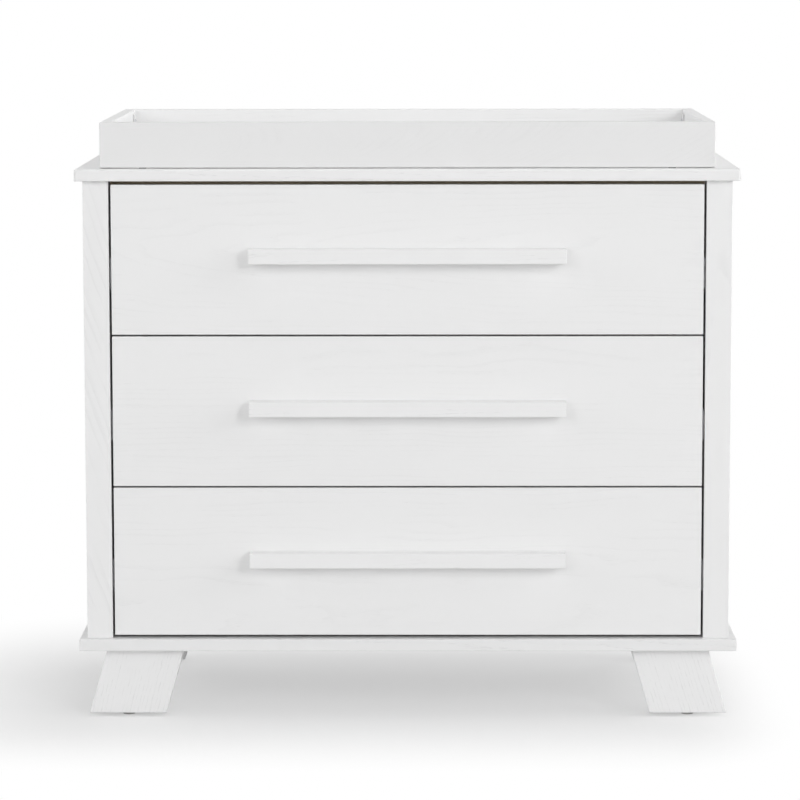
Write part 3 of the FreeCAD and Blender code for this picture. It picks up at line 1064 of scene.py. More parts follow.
@dataclass(frozen=True)
class Screw:
    """A screw or bolt. Its head stands at the origin and its shank runs along +Z.

    Args:
        name: The pattern's name.
        shank: Shank diameter.
        head: Head diameter.
        rise: Head height.
        length: Length under the head, or overall when countersunk.
        countersunk: Whether the head is flush.
        recess: The driver's shape.
        sides: Number of facets round it.
        reach: The recess's reach from the middle, as a share of the head's diameter.
        slit: Half the width of a cross's arms, as a share of the same.
        sink: The recess's depth, as a share of the head's height.
        wall: Height of a dome's upright edge, as a share of the same.
        edge: Size of the head's broken edge.
        point: The tip's diameter, as a share of the shank's.
    """

    name: str
    shank: float
    head: float
    rise: float
    length: float
    countersunk: bool = False
    recess: Recess = Recess.CROSS
    sides: int = 24
    reach: float = 0.27
    slit: float = 0.06
    sink: float = 0.75
    wall: float = 0.45
    edge: float = 0.1 * MM
    point: float = 0.2

    def profile(self) -> list[Flat]:
        """Draws the section.

        Returns:
            Its corners, from the head's middle to the shank's tip.
        """
        head, shank, edge = self.head / 2, self.shank / 2, self.edge
        tip = [(shank, self.length - shank), (shank * self.point, self.length), (0.0, self.length)]
        if self.countersunk:
            return [(0.0, 0.0), (head - 2 * edge, 0.0), (head, 2 * edge), (shank, self.rise)] + tip
        dome = [
            (head * math.sin(angle), -self.rise * (self.wall + (1.0 - self.wall) * math.cos(angle)))
            for angle in map(math.radians, (0, 25, 45, 65, 80, 90))
        ]
        return dome + [(head, -edge), (head - edge, 0.0), (shank, 0.0)] + tip

    def driver(self) -> list[Piece]:
        """Makes what cuts the recess.

        Returns:
            The solids.
        """
        top = 0.0 if self.countersunk else -self.rise
        above, below = top - MM, top + self.rise * self.sink
        reach, slit = self.head * self.reach, self.head * self.slit
        if self.recess is Recess.HEXAGON:
            return [turned("driver", [(0.0, above), (reach, above), (reach, below), (0.0, below)], 6)]
        return [
            block("driver", Box(Vector((-across, -up, above)), Vector((across, up, below))))
            for across, up in ((reach, slit), (slit, reach))
        ]

    def pattern(self) -> Piece:
        """The screw as an object to copy."""
        return smooth(carve(turned(self.name, self.profile(), self.sides), self.driver()), TURNED_CRISP)


# ---------------------------------------------------------------- sub-assemblies

@dataclass
class Workshop:
    """What the sub-assemblies share: layouts, fitting finishes and how a piece is dressed and hung."""

    copies: CopyLayout = field(default_factory=CopyLayout)
    balls: BallLayout = field(default_factory=BallLayout)
    finishes: dict[str, bpy.types.Material] = field(default_factory=dict)

    def finish(self, kind: Skin) -> bpy.types.Material:
        """Makes the material of a fitting's finish, once.

        Args:
            kind: The finish.

        Returns:
            Its material.
        """
        if kind.name not in self.finishes:
            self.finishes[kind.name] = kind.material()
        return self.finishes[kind.name]

    def fit(self, piece: Piece, body: str, kind: Skin, *nodes: str) -> None:
        """Dresses a fitting in one of the even finishes and hangs it."""
        seat(dress(piece, self.finish(kind)), body, kind.slot, *nodes)

    def board(self, piece: Piece, body: str, wood: PaintedWood, cut: Cut | Point, *nodes: str) -> None:
        """Dresses a board and hangs it.

        Args:
            piece: The board.
            body: The body that carries it.
            wood: Its finish.
            cut: How it was cut, or only the way its grain runs, where its name chooses the rest.
            nodes: The nodes that it stands for.
        """
        if not isinstance(cut, Cut):
            cut = Cut.chosen(piece.name, cut, Box.over(vertex.co for vertex in piece.data.vertices).middle)
        seat(dress(piece, wood.material(piece.name, cut)), body, wood.slot, *nodes)

    def repeat(self, name: str, pattern: Piece, points: list[Vector], body: str, kind: Skin, *nodes: str,
               aim: Point = Axis.Z.way, turn: float = 0.0) -> None:
        """Sets out copies of a fitting, hangs them and removes the pattern.

        Args:
            name: The piece's name.
            pattern: What to copy.
            points: Where the copies go.
            body: The body that carries them.
            kind: Their finish.
            nodes: The nodes that they stand for.
            aim: The way their own Z points.
            turn: The most that each is turned about it.
        """
        piece = self.copies.lay(
            name, points, Pattern=pattern, Aim=aim, Turn=turn, Seed=len(name), Finish=self.finish(kind))
        drop(pattern)
        seat(piece, body, kind.slot, *nodes)

    def screws(self, name: str, screw: Screw, points: list[Vector], aim: Point, body: str, *nodes: str) -> None:
        """Sets out copies of a screw with their shanks pointing along aim."""
        self.repeat(name, screw.pattern(), points, body, SCREW_ZINC, *nodes, aim=aim, turn=2 * math.pi)

    def member_screws(self, name: str, screw: Screw, members: list[Box], sign: int, inset: float,
                      shares: tuple[float, ...], body: str) -> None:
        """Sets out the screws of runner members on one side.

        Args:
            name: The piece's name.
            screw: The screw.
            members: The members.
            sign: The way the shanks point along X.
            inset: How far the heads' seats are inside the members' faces on that side.
            shares: Places of the screws, as shares of a member's length.
            body: The body that carries them.
        """
        points = [
            box.at(x=(box.high.x if sign > 0 else box.low.x) - sign * inset,
                   y=box.low.y + share * (box.high.y - box.low.y))
            for box in members for share in shares]
        self.screws(name, screw, points, (float(sign), 0.0, 0.0), body)


@dataclass
class Case:
    """Slabs, posts, panels, rails and the fixed fittings between them."""

    shop: Workshop
    body: str = "case"
    roundover: float = 3.5 * MM
    crisp: float = 1.4 * MM
    post_arris: float = 0.5 * MM
    hidden: float = 0.4 * MM
    clearance: float = 0.2 * MM
    back_screw: Screw = Screw("back_screw", 3.5 * MM, 8.0 * MM, 2.0 * MM, 16.0 * MM)
    leg_bolt: Screw = Screw("leg_bolt", 6.0 * MM, 12.0 * MM, 3.0 * MM, 60.0 * MM, True, Recess.HEXAGON)

    def build(self) -> None:
        """Makes every piece of the case."""
        self.slabs()
        for side, sign in SIGNS.items():
            self.posts(side, sign)
            self.board("side_panel_" + side, Axis.Z, PAINT)
        back = plain_board("back_panel", Axis.Z, self.hidden, segments=HIDDEN_FACETS)
        self.shop.fit(back, self.body, BACK_BOARD, "back_panel")
        self.board("top_rail_front", Axis.X, SAWN_WOOD)
        self.board("top_rail_rear", Axis.X, SAWN_WOOD)
        self.battens()
        self.screws()

    def slabs(self) -> None:
        """Makes the top slab with its rounded upper edge, and the base slab with crisper edges."""
        lower = {(2, 0): self.crisp / self.roundover}
        top = plain_board("top_slab", Axis.X, self.roundover, shares=lower, segments=6)
        low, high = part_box("top_slab")
        cut = Cut(Axis.X.way, (low.x * 0.5, low.y, high.z), (0.03, -0.075), (0.012, 0.02))
        self.shop.board(top, self.body, EDGE_PAINT, cut, "top_slab")
        base = plain_board("base_slab", Axis.X, self.crisp)
        self.shop.board(base, self.body, BASE_PAINT, Axis.X.way, "base_slab")

    def board(self, node: str, axis: Axis, wood: PaintedWood) -> None:
        """Makes a rectangular board in the place of a node, with its grain along the axis."""
        piece = plain_board(node, axis, self.hidden, segments=HIDDEN_FACETS)
        self.shop.board(piece, self.body, wood, axis.way, node)

    def posts(self, side: str, sign: int) -> None:
        """Makes a front and a rear post, with the side panel's groove and the back's rabbet.

        Args:
            side: Name of the side.
            sign: Which way that side lies along X.
        """
        gap = self.clearance
        panel, back = Box(*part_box("side_panel_" + side)), Box(*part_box("back_panel"))
        near, far = panel.low.x - gap, panel.high.x + gap
        for place in ("front", "rear"):
            node = "%s_post_%s" % (place, side)
            box = Box(*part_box(node))
            low, high = box.low, box.high
            cut = Axis.Z.way
            if place == "front":
                groove = panel.low.y - gap
                outline = [
                    (low.x, low.y), (high.x, low.y), (high.x, high.y),
                    (far, high.y), (far, groove), (near, groove), (near, high.y), (low.x, high.y)]
                if sign < 0:
                    cut = Cut(Axis.Z.way, tuple(box.at(y=low.y, z=low.z + 0.35)), (0.06, 0.02), (0.33, 0.03))
            else:
                groove, reach = panel.high.y + gap, sign * (back.high.x + gap)
                right, left = (back.low.y, high.y) if sign < 0 else (high.y, back.low.y)
                outline = [
                    (low.x, low.y), (near, low.y), (near, groove), (far, groove), (far, low.y), (high.x, low.y),
                    (high.x, right), (reach, right), (reach, left), (low.x, left)]
            piece = Blank(node + "_board", outline, Axis.Z, box.run(Axis.Z), self.post_arris).make()
            self.shop.board(piece, self.body, POST_PAINT, cut, node)

    def battens(self) -> None:
        """Makes the packing battens behind the runners, one piece with six solids."""
        shape = bmesh.new()
        for box in solids_of("runner_battens"):
            add_block(shape, box)
        piece = rounded("runner_batten_boards", shape, self.hidden, HIDDEN_FACETS, lambda edge: 1.0)
        self.shop.board(smooth(piece, BOARD_CRISP), self.body, SAWN_WOOD, Axis.Y.way, "runner_battens")

    def screws(self) -> None:
        """Makes the screws of the back panel and the bolts of the legs."""
        node = "back_panel_screws"
        backs = [box.at(y=box.high.y - self.back_screw.rise) for box in solids_of(node)]
        self.shop.screws("back_panel_screw_set", self.back_screw, backs, FORWARDS, self.body, node)
        bolts = [box.at(z=box.high.z) for box in solids_of("leg_bolts")]
        self.shop.screws("leg_bolt_set", self.leg_bolt, bolts, DOWN, self.body, "leg_bolts")


@dataclass
class Legs:
    """Four splayed legs and the glides under them."""

    shop: Workshop
    body: str = "case"
    width: float = 0.110
    arris: float = 1.6 * MM
    glide_radius: float = 9.0 * MM
    glide_height: float = 5.0 * MM
    glide_edge: float = 1.2 * MM
    glide_sides: int = 48
    pin_radius: float = 2.0 * MM

    def build(self) -> None:
        """Makes the legs and the glides."""
        for place in ("front", "rear"):
            for side, sign in SIGNS.items():
                self.leg("leg_%s_%s" % (place, side), sign)
        self.glides()

    def leg(self, node: str, sign: int) -> None:
        """Makes a parallelogram slab that leans outwards towards the floor, with the grain along its slant.

        Args:
            node: The leg's node.
            sign: Which way its side lies along X.
        """
        box = Box(*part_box(node))
        low, high = box.low, box.high
        inner, outer = (low.x, high.x) if sign > 0 else (high.x, low.x)
        reach = self.width * sign
        outline = [(outer - reach, low.z), (outer, low.z), (inner + reach, high.z), (inner, high.z)]
        piece = Blank(node + "_slab", outline, Axis.Y, box.run(Axis.Y), self.arris, every_edge=True).make()
        slant = (inner - (outer - reach), 0.0, high.z - low.z)
        foot = (outer - reach * 0.25 if sign < 0 else inner + reach * 0.5, low.y, low.z)
        cut = Cut(slant, foot, (0.085, 0.05), (0.02, 0.03)) if node.startswith("leg_front") else slant
        self.shop.board(piece, self.body, EDGE_PAINT, cut, node)

    def glides(self) -> None:
        """Makes the turned nylon glides, each with its pin."""
        boxes = solids_of("leg_glides")
        radius, height, soft, pin = self.glide_radius, self.glide_height, self.glide_edge, self.pin_radius
        edge = [
            (radius - soft + soft * math.sin(angle), soft - soft * math.cos(angle))
            for angle in map(math.radians, (0, 30, 60, 90))]
        top = boxes[0].high.z
        profile = [(0.0, 0.0)] + edge + [(radius, height), (pin, height), (pin, top), (0.0, top)]
        pattern = smooth(turned("glide", profile, self.glide_sides), TURNED_CRISP)
        self.shop.repeat("leg_glide_set", pattern, [box.at(z=0.0) for box in boxes], self.body, NYLON, "leg_glides")


@dataclass
class Drawer:
    """One drawer: its front with the pull, its box and the screws between them."""

    shop: Workshop
    level: str
    crisp: float = 0.5 * MM
    paint_sides: float = 0.6 * MM
    paint_ends: float = 0.4 * MM
    trim: float = 1.0 * MM
    box_arris: float = 2.0 * MM
    fine: float = 0.3 * MM
    clearance: float = 0.2 * MM
    pull_arris: float = 1.0 * MM
    joint_share: float = 0.02
    screw: Screw = Screw("pull_screw", 4.0 * MM, 8.5 * MM, 2.4 * MM, 36.0 * MM)

    def __post_init__(self) -> None:
        """Names the body and the room that the bottom panel needs."""
        self.body = self.level + "_drawer"
        low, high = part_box(self.body + "_bottom")
        room = Vector([self.clearance] * 3)
        self.groove = Box(low - room, high + room)

    def build(self) -> None:
        """Makes every piece of the drawer."""
        self.front()
        self.pull()
        for side, sign in SIGNS.items():
            self.box_board("side_" + side, Axis.Y, sign > 0)
        self.box_board("back", Axis.X, True)
        node = self.body + "_bottom"
        bottom = plain_board(node, Axis.X, self.fine, segments=1)
        self.shop.board(bottom, self.body, BOX_WOOD, Axis.X.way, node)
        node = self.body + "_pull_screws"
        points = [box.at(y=box.high.y - self.screw.rise) for box in solids_of(node)]
        self.shop.screws(node + "_set", self.screw, points, FORWARDS, self.body, node)

    def front(self) -> None:
        """Makes the inset front, grooved at the back for the bottom panel."""
        node = self.body + "_front"
        low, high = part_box(node)
        middle = (low + high) / 2
        below, above = (
            Vector((self.paint_sides, 0.0, -self.trim if self.level == last else self.paint_ends))
            for last in ("bottom", "top"))
        face = Box(low - below, high + above)
        piece = Blank(
            node + "_board", face.section(Axis.X), Axis.X, face.run(Axis.X), self.crisp, cutters=[self.groove]).make()
        place, pith, lean = {
            "top": ((0.36, low.y, middle.z + 0.007), (0.0, 0.045), (-0.02, -0.045)),
            "middle": ((-0.35, low.y, middle.z - 0.03), (0.12, 0.05), (0.01, -0.02)),
            "bottom": ((0.1, low.y, middle.z - 0.09), (0.02, 0.16), (0.03, 0.03)),
        }[self.level]
        self.shop.board(piece, self.body, PAINT, Cut(Axis.X.way, place, pith, lean), node)

    def pull(self) -> None:
        """Makes the bar pull, rounded everywhere but where it meets the front."""
        node = self.body + "_pull"
        low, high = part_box(node)
        joint = {(1, 1): self.joint_share}
        piece = plain_board(node, Axis.X, self.pull_arris, shares=joint)
        draw = Random(node)
        place = (draw.uniform(-0.1, 0.1), low.y, high.z)
        cut = Cut(Axis.X.way, place, (0.02, 0.045), (0.05, draw.uniform(-0.02, 0.04)))
        self.shop.board(piece, self.body, EDGE_PAINT, cut, node)

    def box_board(self, part: str, axis: Axis, near: bool) -> None:
        """Makes an upright board of the box, round on its upper edges and nearly sharp elsewhere.

        Args:
            part: The board's part in the drawer.
            axis: The way it runs.
            near: Whether the bottom panel's groove is on its low side, and not on its high one.
        """
        node = "%s_%s" % (self.body, part)
        box = Box(*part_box(node))
        (low, foot), _, (high, rim), _ = box.section(axis)
        (slot_low, under), _, (slot_high, over), _ = self.groove.section(axis)
        if near:
            outline = [
                (low, foot), (high, foot), (high, rim), (low, rim),
                (low, over), (slot_high, over), (slot_high, under), (low, under)]
        else:
            outline = [
                (low, foot), (high, foot), (high, under), (slot_low, under),
                (slot_low, over), (high, over), (high, rim), (low, rim)]
        shares = {(plane, end): self.fine / self.box_arris for plane in range(3) for end in (0, 1)}
        piece = UpperRounded(node + "_board", outline, axis, box.run(axis), self.box_arris, shares).make()
        self.shop.board(piece, self.body, BOX_WOOD, axis.way, node)


@dataclass
class FixedMembers:
    """The runners' fixed members, all six in one piece, and the screws that hold them."""

    shop: Workshop
    body: str = "case"
    screw: Screw = Screw("fixed_screw", 3.5 * MM, 6.4 * MM, 1.0 * MM, 12.0 * MM, True)
    inset: float = 1.25 * MM
    screw_shares: tuple[float, ...] = (0.09, 0.5, 0.93)

    def build(self) -> None:
        """Makes the members and their screws."""
        node = "runner_fixed_members"
        self.shop.fit(softened(node, node + "_rolled"), self.body, ZINC, node)
        for side, sign in SIGNS.items():
            members = [box for box in solids_of(node) if sign * box.high.x > 0]
            self.shop.member_screws(
                "fixed_member_screws_" + side, self.screw, members, sign, self.inset, self.screw_shares, self.body)


@dataclass
class Runners:
    """The moving parts of one drawer's runners: two members each side, and the caged balls."""

    shop: Workshop
    level: str
    ball_radius: float = 2.1 * MM
    ball_pitch: float = 7.0 * MM
    cage_gauge: float = 0.6 * MM
    cage_arris: float = 0.1 * MM
    screw: Screw = Screw("runner_screw", 3.5 * MM, 6.4 * MM, 1.5 * MM, 11.0 * MM)
    inset: float = 1.2 * MM
    screw_shares: tuple[float, ...] = (0.08, 0.5, 0.9)

    def build(self) -> None:
        """Makes the moving members, the cages and the drawer members' screws."""
        drawer = self.level + "_drawer"
        for part, body in (("middle_members", self.level + "_runner_middles"), ("drawer_members", drawer)):
            node = "%s_runner_%s" % (self.level, part)
            self.shop.fit(softened(node, node + "_rolled"), body, ZINC, node)
        for place in ("outer", "inner"):
            self.cages(place)
        for box in solids_of(self.level + "_runner_drawer_members"):
            side = "right" if box.high.x > 0 else "left"
            self.shop.member_screws(
                "%s_runner_screws_%s" % (self.level, side), self.screw, [box], -SIGNS[side], self.inset,
                self.screw_shares, drawer)

    def cages(self, place: str) -> None:
        """Makes a pair of cages: thin plates with arms, and the balls that they hold.

        Args:
            place: Which of the two pairs.
        """
        node = "%s_runner_%s_cages" % (self.level, place)
        body = "%s_runner_%s_cage_pair" % (self.level, place)
        half = self.cage_gauge / 2
        starts, shape = [], bmesh.new()
        for box in solids_of(node):
            low, high = box.low, box.high
            sign = 1 if high.x > 0 else -1
            web, far = (high.x, low.x) if sign > 0 else (low.x, high.x)
            ball = far + sign * self.ball_radius
            spare = (high.y - low.y) % self.ball_pitch
            for height in (low.z + self.ball_radius, high.z - self.ball_radius):
                starts.append(Vector((ball, low.y + (spare + self.ball_pitch) / 2, height)))
                self.plate(shape, (web, low.y, height - half), (ball, high.y, height + half))
            inset = self.ball_radius - half
            self.plate(shape, (web, low.y, low.z + inset), (web - sign * self.cage_gauge, high.y, high.z - inset))
        count = int((high.y - low.y) / self.ball_pitch)
        sheet = smooth(link(node + "_plates", shape), BOARD_CRISP)
        seat(dress(sheet, self.shop.finish(ZINC)), body, BALL_STEEL.slot, node)
        balls = self.shop.balls.lay(
            node + "_balls", starts, Count=count, Pitch=self.ball_pitch, Radius=self.ball_radius,
            Finish=self.shop.finish(BALL_STEEL))
        seat(balls, body, BALL_STEEL.slot)

    def plate(self, shape: Shape, first: Point, second: Point) -> None:
        """Adds a thin plate between two opposite corners, with its edges broken.

        Args:
            shape: What it is added to.
            first: One corner.
            second: The opposite one.
        """
        edges = list({edge for vertex in add_block(shape, Box.over((first, second))) for edge in vertex.link_edges})
        bmesh.ops.bevel(shape, geom=edges, offset=self.cage_arris, segments=1, affect="EDGES")


@dataclass
class Tray:
    """The changing tray: four mitred boards, pads, brackets and their screws."""

    shop: Workshop
    body: str = "tray"
    arris: float = 1.4 * MM
    seam: float = 0.06 * MM
    pad_arris: float = 0.3 * MM
    screw: Screw = Screw("bracket_screw", 3.5 * MM, 7.0 * MM, 2.0 * MM, 12.0 * MM)

    def __post_init__(self) -> None:
        """Looks up the boards' places."""
        self.boxes = {side: Box(*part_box("tray_" + side)) for side in (*SIGNS, "front", "back")}

    def build(self) -> None:
        """Makes every piece of the tray."""
        self.boards()
        self.pads()
        node = "tray_brackets"
        self.shop.fit(softened(node, "tray_bracket_strips"), self.body, POWDER_COAT, node)
        self.screws()

    def ring(self) -> Piece:
        """Makes the four boards as one ring, with its rim, foot and outer corners rounded.

        Returns:
            The ring.
        """
        left, right, front, back = self.boxes.values()
        shape = bmesh.new()
        foot_out, rim_out, foot_in, rim_in = (
            [shape.verts.new((x, y, z)) for x, y in ((west, south), (east, south), (east, north), (west, north))]
            for west, south, east, north in (
                (left.low.x, front.low.y, right.high.x, back.high.y),
                (left.high.x, front.high.y, right.low.x, back.low.y))
            for z in front.run(Axis.Z))
        for index in range(4):
            after = (index + 1) % 4
            for first, second in ((foot_out, rim_out), (rim_out, rim_in), (rim_in, foot_in), (foot_in, foot_out)):
                shape.faces.new((first[index], first[after], second[after], second[index]))
        bmesh.ops.recalc_face_normals(shape, faces=shape.faces)
        inner = set(foot_in + rim_in)

        def share(edge: bmesh.types.BMEdge) -> float:
            """Weighs the outer uprights, and the level edges that don't cross the rim or the foot.

            Args:
                edge: An edge.

            Returns:
                Its share of the rounding.
            """
            upright = abs(edge.verts[0].co.z - edge.verts[1].co.z) > MM
            inside = len(set(edge.verts) & inner)
            return float(inside == 0 if upright else inside != 1)

        return rounded("tray_ring", shape, self.arris, SEEN_FACETS, share)

    def boards(self) -> None:
        """Cuts the ring at its mitres into four boards."""
        ring = self.ring()
        left, right, front, back = self.boxes.values()
        mitres = {}
        for across, outer_x, inner_x in (("left", left.low.x, left.high.x), ("right", right.high.x, right.low.x)):
            for along, outer_y, inner_y in (("front", front.low.y, front.high.y), ("back", back.high.y, back.low.y)):
                run = Vector((inner_x - outer_x, inner_y - outer_y, 0.0)).normalized()
                mitres[across, along] = (Vector((outer_x, outer_y, 0.0)), Vector((-run.y, run.x, 0.0)))
        centre = (left.low + right.high) / 2
        for side, box in self.boxes.items():
            shape = bmesh.new()
            shape.from_mesh(ring.data)
            axis, outwards = (Axis.Y, Axis.X) if side in SIGNS else (Axis.X, Axis.Y)
            planes = [(centre, Vector(outwards.way))] + [plane for key, plane in mitres.items() if side in key]
            for spot, normal in planes:
                away = normal if (box.middle - spot).dot(normal) > 0 else -normal
                cut = bmesh.ops.bisect_plane(
                    shape, geom=shape.verts[:] + shape.edges[:] + shape.faces[:], dist=TOUCH,
                    plane_co=spot + away * self.seam, plane_no=-away, clear_outer=True)
                rim = [item for item in cut["geom_cut"] if isinstance(item, bmesh.types.BMEdge)]
                bmesh.ops.holes_fill(shape, edges=rim, sides=0)
            piece = smooth(link("tray_%s_board" % side, shape), BOARD_CRISP)
            # The sides and back take the lighter paint, painted light; the front takes the greyer one, painted shade.
            wood, figure = TRAY_PAINT_PAINTED_LIGHT, axis.way
            if side == "front":
                place = (-0.28, box.low.y, box.middle.z)
                wood, figure = TRAY_FACE_PAINTED_SHADE, Cut(axis.way, place, (0.0, 0.03), (0.12, 0.2))
            self.shop.board(piece, self.body, wood, figure, "tray_" + side)
        drop(ring)

    def pads(self) -> None:
        """Makes the soft pads between the tray and the top."""
        boxes = solids_of("tray_pads")
        size = boxes[0].high - boxes[0].low
        outline = Box(-size / 2, size / 2).section(Axis.Z)
        pattern = Blank("pad", outline, Axis.Z, (0.0, size.z), self.pad_arris, segments=HIDDEN_FACETS).make()
        points = [box.at(z=box.low.z) for box in boxes]
        self.shop.repeat("tray_pad_set", pattern, points, self.body, RUBBER, "tray_pads")

    def screws(self) -> None:
        """Makes the brackets' screws: two into each board and one into the top."""
        node = "tray_bracket_screws"
        aims = {"left": (-1.0, 0.0, 0.0), "foot": DOWN, "right": Axis.X.way}
        groups = {name: [] for name in aims}
        for box in solids_of(node):
            size = box.high - box.low
            if size.z > size.x:
                groups["foot"].append(box.at(z=box.high.z - self.screw.rise))
            elif box.high.x > 0:
                groups["right"].append(box.at(x=box.low.x + self.screw.rise))
            else:
                groups["left"].append(box.at(x=box.high.x - self.screw.rise))
        for name, points in groups.items():
            nodes = (node,) if name == "foot" else ()
            self.shop.screws("%s_%s" % (node, name), self.screw, points, aims[name], self.body, *nodes)


# ---------------------------------------------------------------- studio

@dataclass
class Lamp:
    """A soft rectangular lamp aimed at the dresser.

    Args:
        name: The lamp's name.
        azimuth: Degrees from straight in front, towards the right.
        elevation: Degrees above level.
        distance: How far it stands from what it lights.
        size: Width and height.
        power: Watts.
        target: What it is aimed at.
    """

    name: str
    azimuth: float
    elevation: float
    distance: float
    size: Flat
    power: float
    target: Point = (0.0, 0.0, 0.42)

    def place(self) -> None:
        """Puts the lamp in the scene."""
        data = bpy.data.lights.new(self.name, "AREA")
        data.shape = "RECTANGLE"
        data.size, data.size_y = self.size
        data.energy = self.power
        lamp = show(bpy.data.objects.new(self.name, data))
        azimuth, elevation = math.radians(self.azimuth), math.radians(self.elevation)
        back = Vector((
            math.sin(azimuth) * math.cos(elevation), -math.cos(azimuth) * math.cos(elevation), math.sin(elevation)))
        lamp.location = Vector(self.target) + back * self.distance
        lamp.rotation_euler = back.to_track_quat("Z", "Y").to_euler()


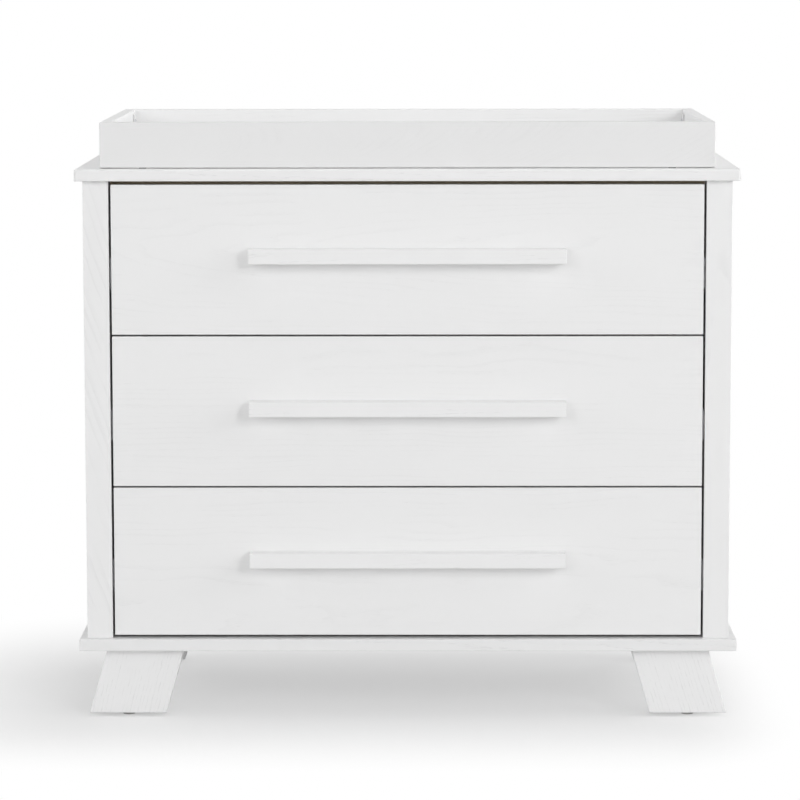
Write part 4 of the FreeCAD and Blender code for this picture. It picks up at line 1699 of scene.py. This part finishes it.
@dataclass
class Studio:
    """Pale floor, soft light and the camera.

    Args:
        floor_half: Half the floor's width.
        floor_drop: The floor's height, just under the glides.
        floor_colour: Its colour.
        lift: How far the floor is cleared to white by a glow that only the camera sees, painted light, as a share,
            even where it is shaded.
        shaded_x: Where the shaded part of the floor starts and ends along X.
        shaded_y: Where it starts and ends along Y.
        fade_x: Widths of the fades to white before and after it along X.
        fade_y: Widths of the fades along Y.
        horizon: Strength of the light from all round, level with the floor.
        zenith: Its strength from above.
        sky_rise: Heights of the direction, from 0 to 1, between which it changes.
        lamps: The lamps.
        camera_place: Where the camera stands.
        camera_yaw: Degrees that it is turned to the left.
        camera_pitch: Degrees that it looks down.
        camera_roll: Degrees that it leans.
        lens: Focal length in millimetres.
        sensor: Sensor width in millimetres.
    """

    floor_half: float = 30.0
    floor_drop: float = -0.0003
    floor_colour: Colour = grey(0.84)
    lift: float = 0.43
    shaded_x: Flat = (-0.41, 0.365)
    shaded_y: Flat = (-0.25, 0.05)
    fade_x: Flat = (0.50, 0.19)
    fade_y: Flat = (0.33, 0.60)
    horizon: float = 0.58
    zenith: float = 0.10
    sky_rise: Flat = (0.1, 0.8)
    lamps: tuple[Lamp, ...] = (
        Lamp("key_lamp", 31.0, 20.0, 9.0, (1.8, 3.0), 157.0),
        Lamp("fill_lamp", -31.0, 20.0, 9.0, (2.4, 3.0), 75.0),
        Lamp("right_lamp", 75.0, 22.0, 9.0, (5.0, 5.0), 286.0),
        Lamp("left_lamp", -75.0, 22.0, 9.0, (5.0, 5.0), 140.0),
        Lamp("front_lamp", -16.0, 7.0, 9.0, (5.0, 2.4), 78.0),
        Lamp("top_lamp", 0.0, 86.0, 6.4, (3.0, 3.0), 54.0),
        Lamp("rear_right_lamp", 138.0, 12.0, 9.0, (5.0, 4.0), 140.0),
        Lamp("rear_left_lamp", -138.0, 12.0, 9.0, (5.0, 4.0), 115.0),
    )
    camera_place: Point = (0.0268, -5.277, 1.075)
    camera_yaw: float = 0.423
    camera_pitch: float = 6.973
    camera_roll: float = -0.079
    lens: float = 162.40
    sensor: float = 36.0

    def build(self) -> None:
        """Sets the whole studio up."""
        self.floor()
        self.world()
        for lamp in self.lamps:
            lamp.place()
        self.camera()
        bpy.context.scene.view_settings.view_transform = "Standard"

    def floor(self) -> None:
        """Makes a wide pale floor that clears to white away from the dresser and isn't there from below."""
        corner = Vector((self.floor_half, self.floor_half, 0.0))
        shape = bmesh.new()
        shape.faces.new([shape.verts.new((x, y, self.floor_drop)) for x, y in Box(-corner, corner).section(Axis.Z)])
        floor = link("studio_floor", shape)
        material = bpy.data.materials.new("pale_floor")
        material.use_nodes = True
        graph = Graph(material.node_tree)
        spot = graph.add("ShaderNodeTexCoord").outputs["Object"]
        split = graph.add("ShaderNodeSeparateXYZ", {0: spot}).outputs
        beyond = [
            self.outside(graph, split[axis], core, fade)
            for axis, (core, fade) in enumerate(((self.shaded_x, self.fade_x), (self.shaded_y, self.fade_y)))]
        sides = graph.add("ShaderNodeCombineXYZ", {0: beyond[0], 1: beyond[1]}).outputs[0]
        away = graph.add("ShaderNodeVectorMath", {0: sides}, operation="LENGTH").outputs["Value"]
        clear = graph.ramp(away, 0.0, 1.0, self.lift, 1.0)
        # Painted light: to the camera the floor glows white by this share, lightening its real shadow, partly near the
        # dresser and wholly away from it.
        seen = graph.maths("MULTIPLY", graph.add("ShaderNodeLightPath").outputs["Is Camera Ray"], clear)
        matt = graph.add("ShaderNodeBsdfDiffuse", {"Color": (*self.floor_colour, 1.0)})
        white = graph.add("ShaderNodeEmission", {"Color": WHITE, "Strength": 1.0})
        top = graph.add("ShaderNodeMixShader", {0: seen, 1: matt.outputs[0], 2: white.outputs[0]})
        under = graph.add("ShaderNodeNewGeometry").outputs["Backfacing"]
        none = graph.add("ShaderNodeBsdfTransparent")
        whole = graph.add("ShaderNodeMixShader", {0: under, 1: top.outputs[0], 2: none.outputs[0]})
        graph.add("ShaderNodeOutputMaterial", {0: whole.outputs[0]})
        dress(floor, material)

    def outside(self, graph: Graph, along: Value, core: Flat, fade: Flat) -> Socket:
        """Works out how far a place is outside the shaded part of the floor, as a share of the fade there.

        Args:
            graph: The floor's nodes.
            along: The place along one axis.
            core: Where the shaded part starts and ends.
            fade: How wide the fade is before it and after it.

        Returns:
            0 in the shaded part, 1 at the end of either fade.
        """
        before = graph.maths("DIVIDE", graph.maths("SUBTRACT", core[0], along), fade[0])
        after = graph.maths("DIVIDE", graph.maths("SUBTRACT", along, core[1]), fade[1])
        return graph.maths("MAXIMUM", graph.maths("MAXIMUM", before, after), 0.0)

    def world(self) -> None:
        """Makes the light from all round, stronger from the sides than from above, and seen as white."""
        world = bpy.data.worlds.new("studio")
        bpy.context.scene.world = world
        world.use_nodes = True
        graph = Graph(world.node_tree)
        path = graph.add("ShaderNodeLightPath")
        seen = path.outputs["Is Camera Ray"]
        for name in ("Is Glossy Ray", "Is Transmission Ray"):
            seen = graph.maths("MAXIMUM", seen, path.outputs[name])
        way = graph.add("ShaderNodeTexCoord").outputs["Generated"]
        rise = graph.add("ShaderNodeSeparateXYZ", {0: way}).outputs[2]
        level = graph.ramp(rise, *self.sky_rise, self.horizon, self.zenith)
        soft, white = (
            graph.add("ShaderNodeBackground", {"Color": WHITE, "Strength": strength}).outputs[0]
            for strength in (level, 1.0))
        mix = graph.add("ShaderNodeMixShader", {0: seen, 1: soft, 2: white})
        graph.add("ShaderNodeOutputWorld", {0: mix.outputs[0]})

    def camera(self) -> None:
        """Makes the camera, at the photograph's viewing angle."""
        data = bpy.data.cameras.new("camera")
        data.sensor_width = self.sensor
        data.lens = self.lens
        camera = show(bpy.data.objects.new("camera", data))
        turn = (
            Matrix.Rotation(math.radians(self.camera_yaw), 3, "Z")
            @ Matrix.Rotation(math.radians(90.0 - self.camera_pitch), 3, "X")
            @ Matrix.Rotation(math.radians(self.camera_roll), 3, "Z"))
        camera.location = self.camera_place
        camera.rotation_euler = turn.to_euler()
        bpy.context.scene.camera = camera


def main() -> None:
    """Builds the dresser's pieces in order, then the studio."""
    logging.basicConfig(level=logging.INFO, format="%(name)s: %(message)s")
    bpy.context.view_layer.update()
    shop = Workshop()
    Case(shop).build()
    Legs(shop).build()
    FixedMembers(shop).build()
    for level in DRAWERS:
        Drawer(shop, level).build()
        Runners(shop, level).build()
    Tray(shop).build()
    Studio().build()


if __name__ == "__main__":
    main()
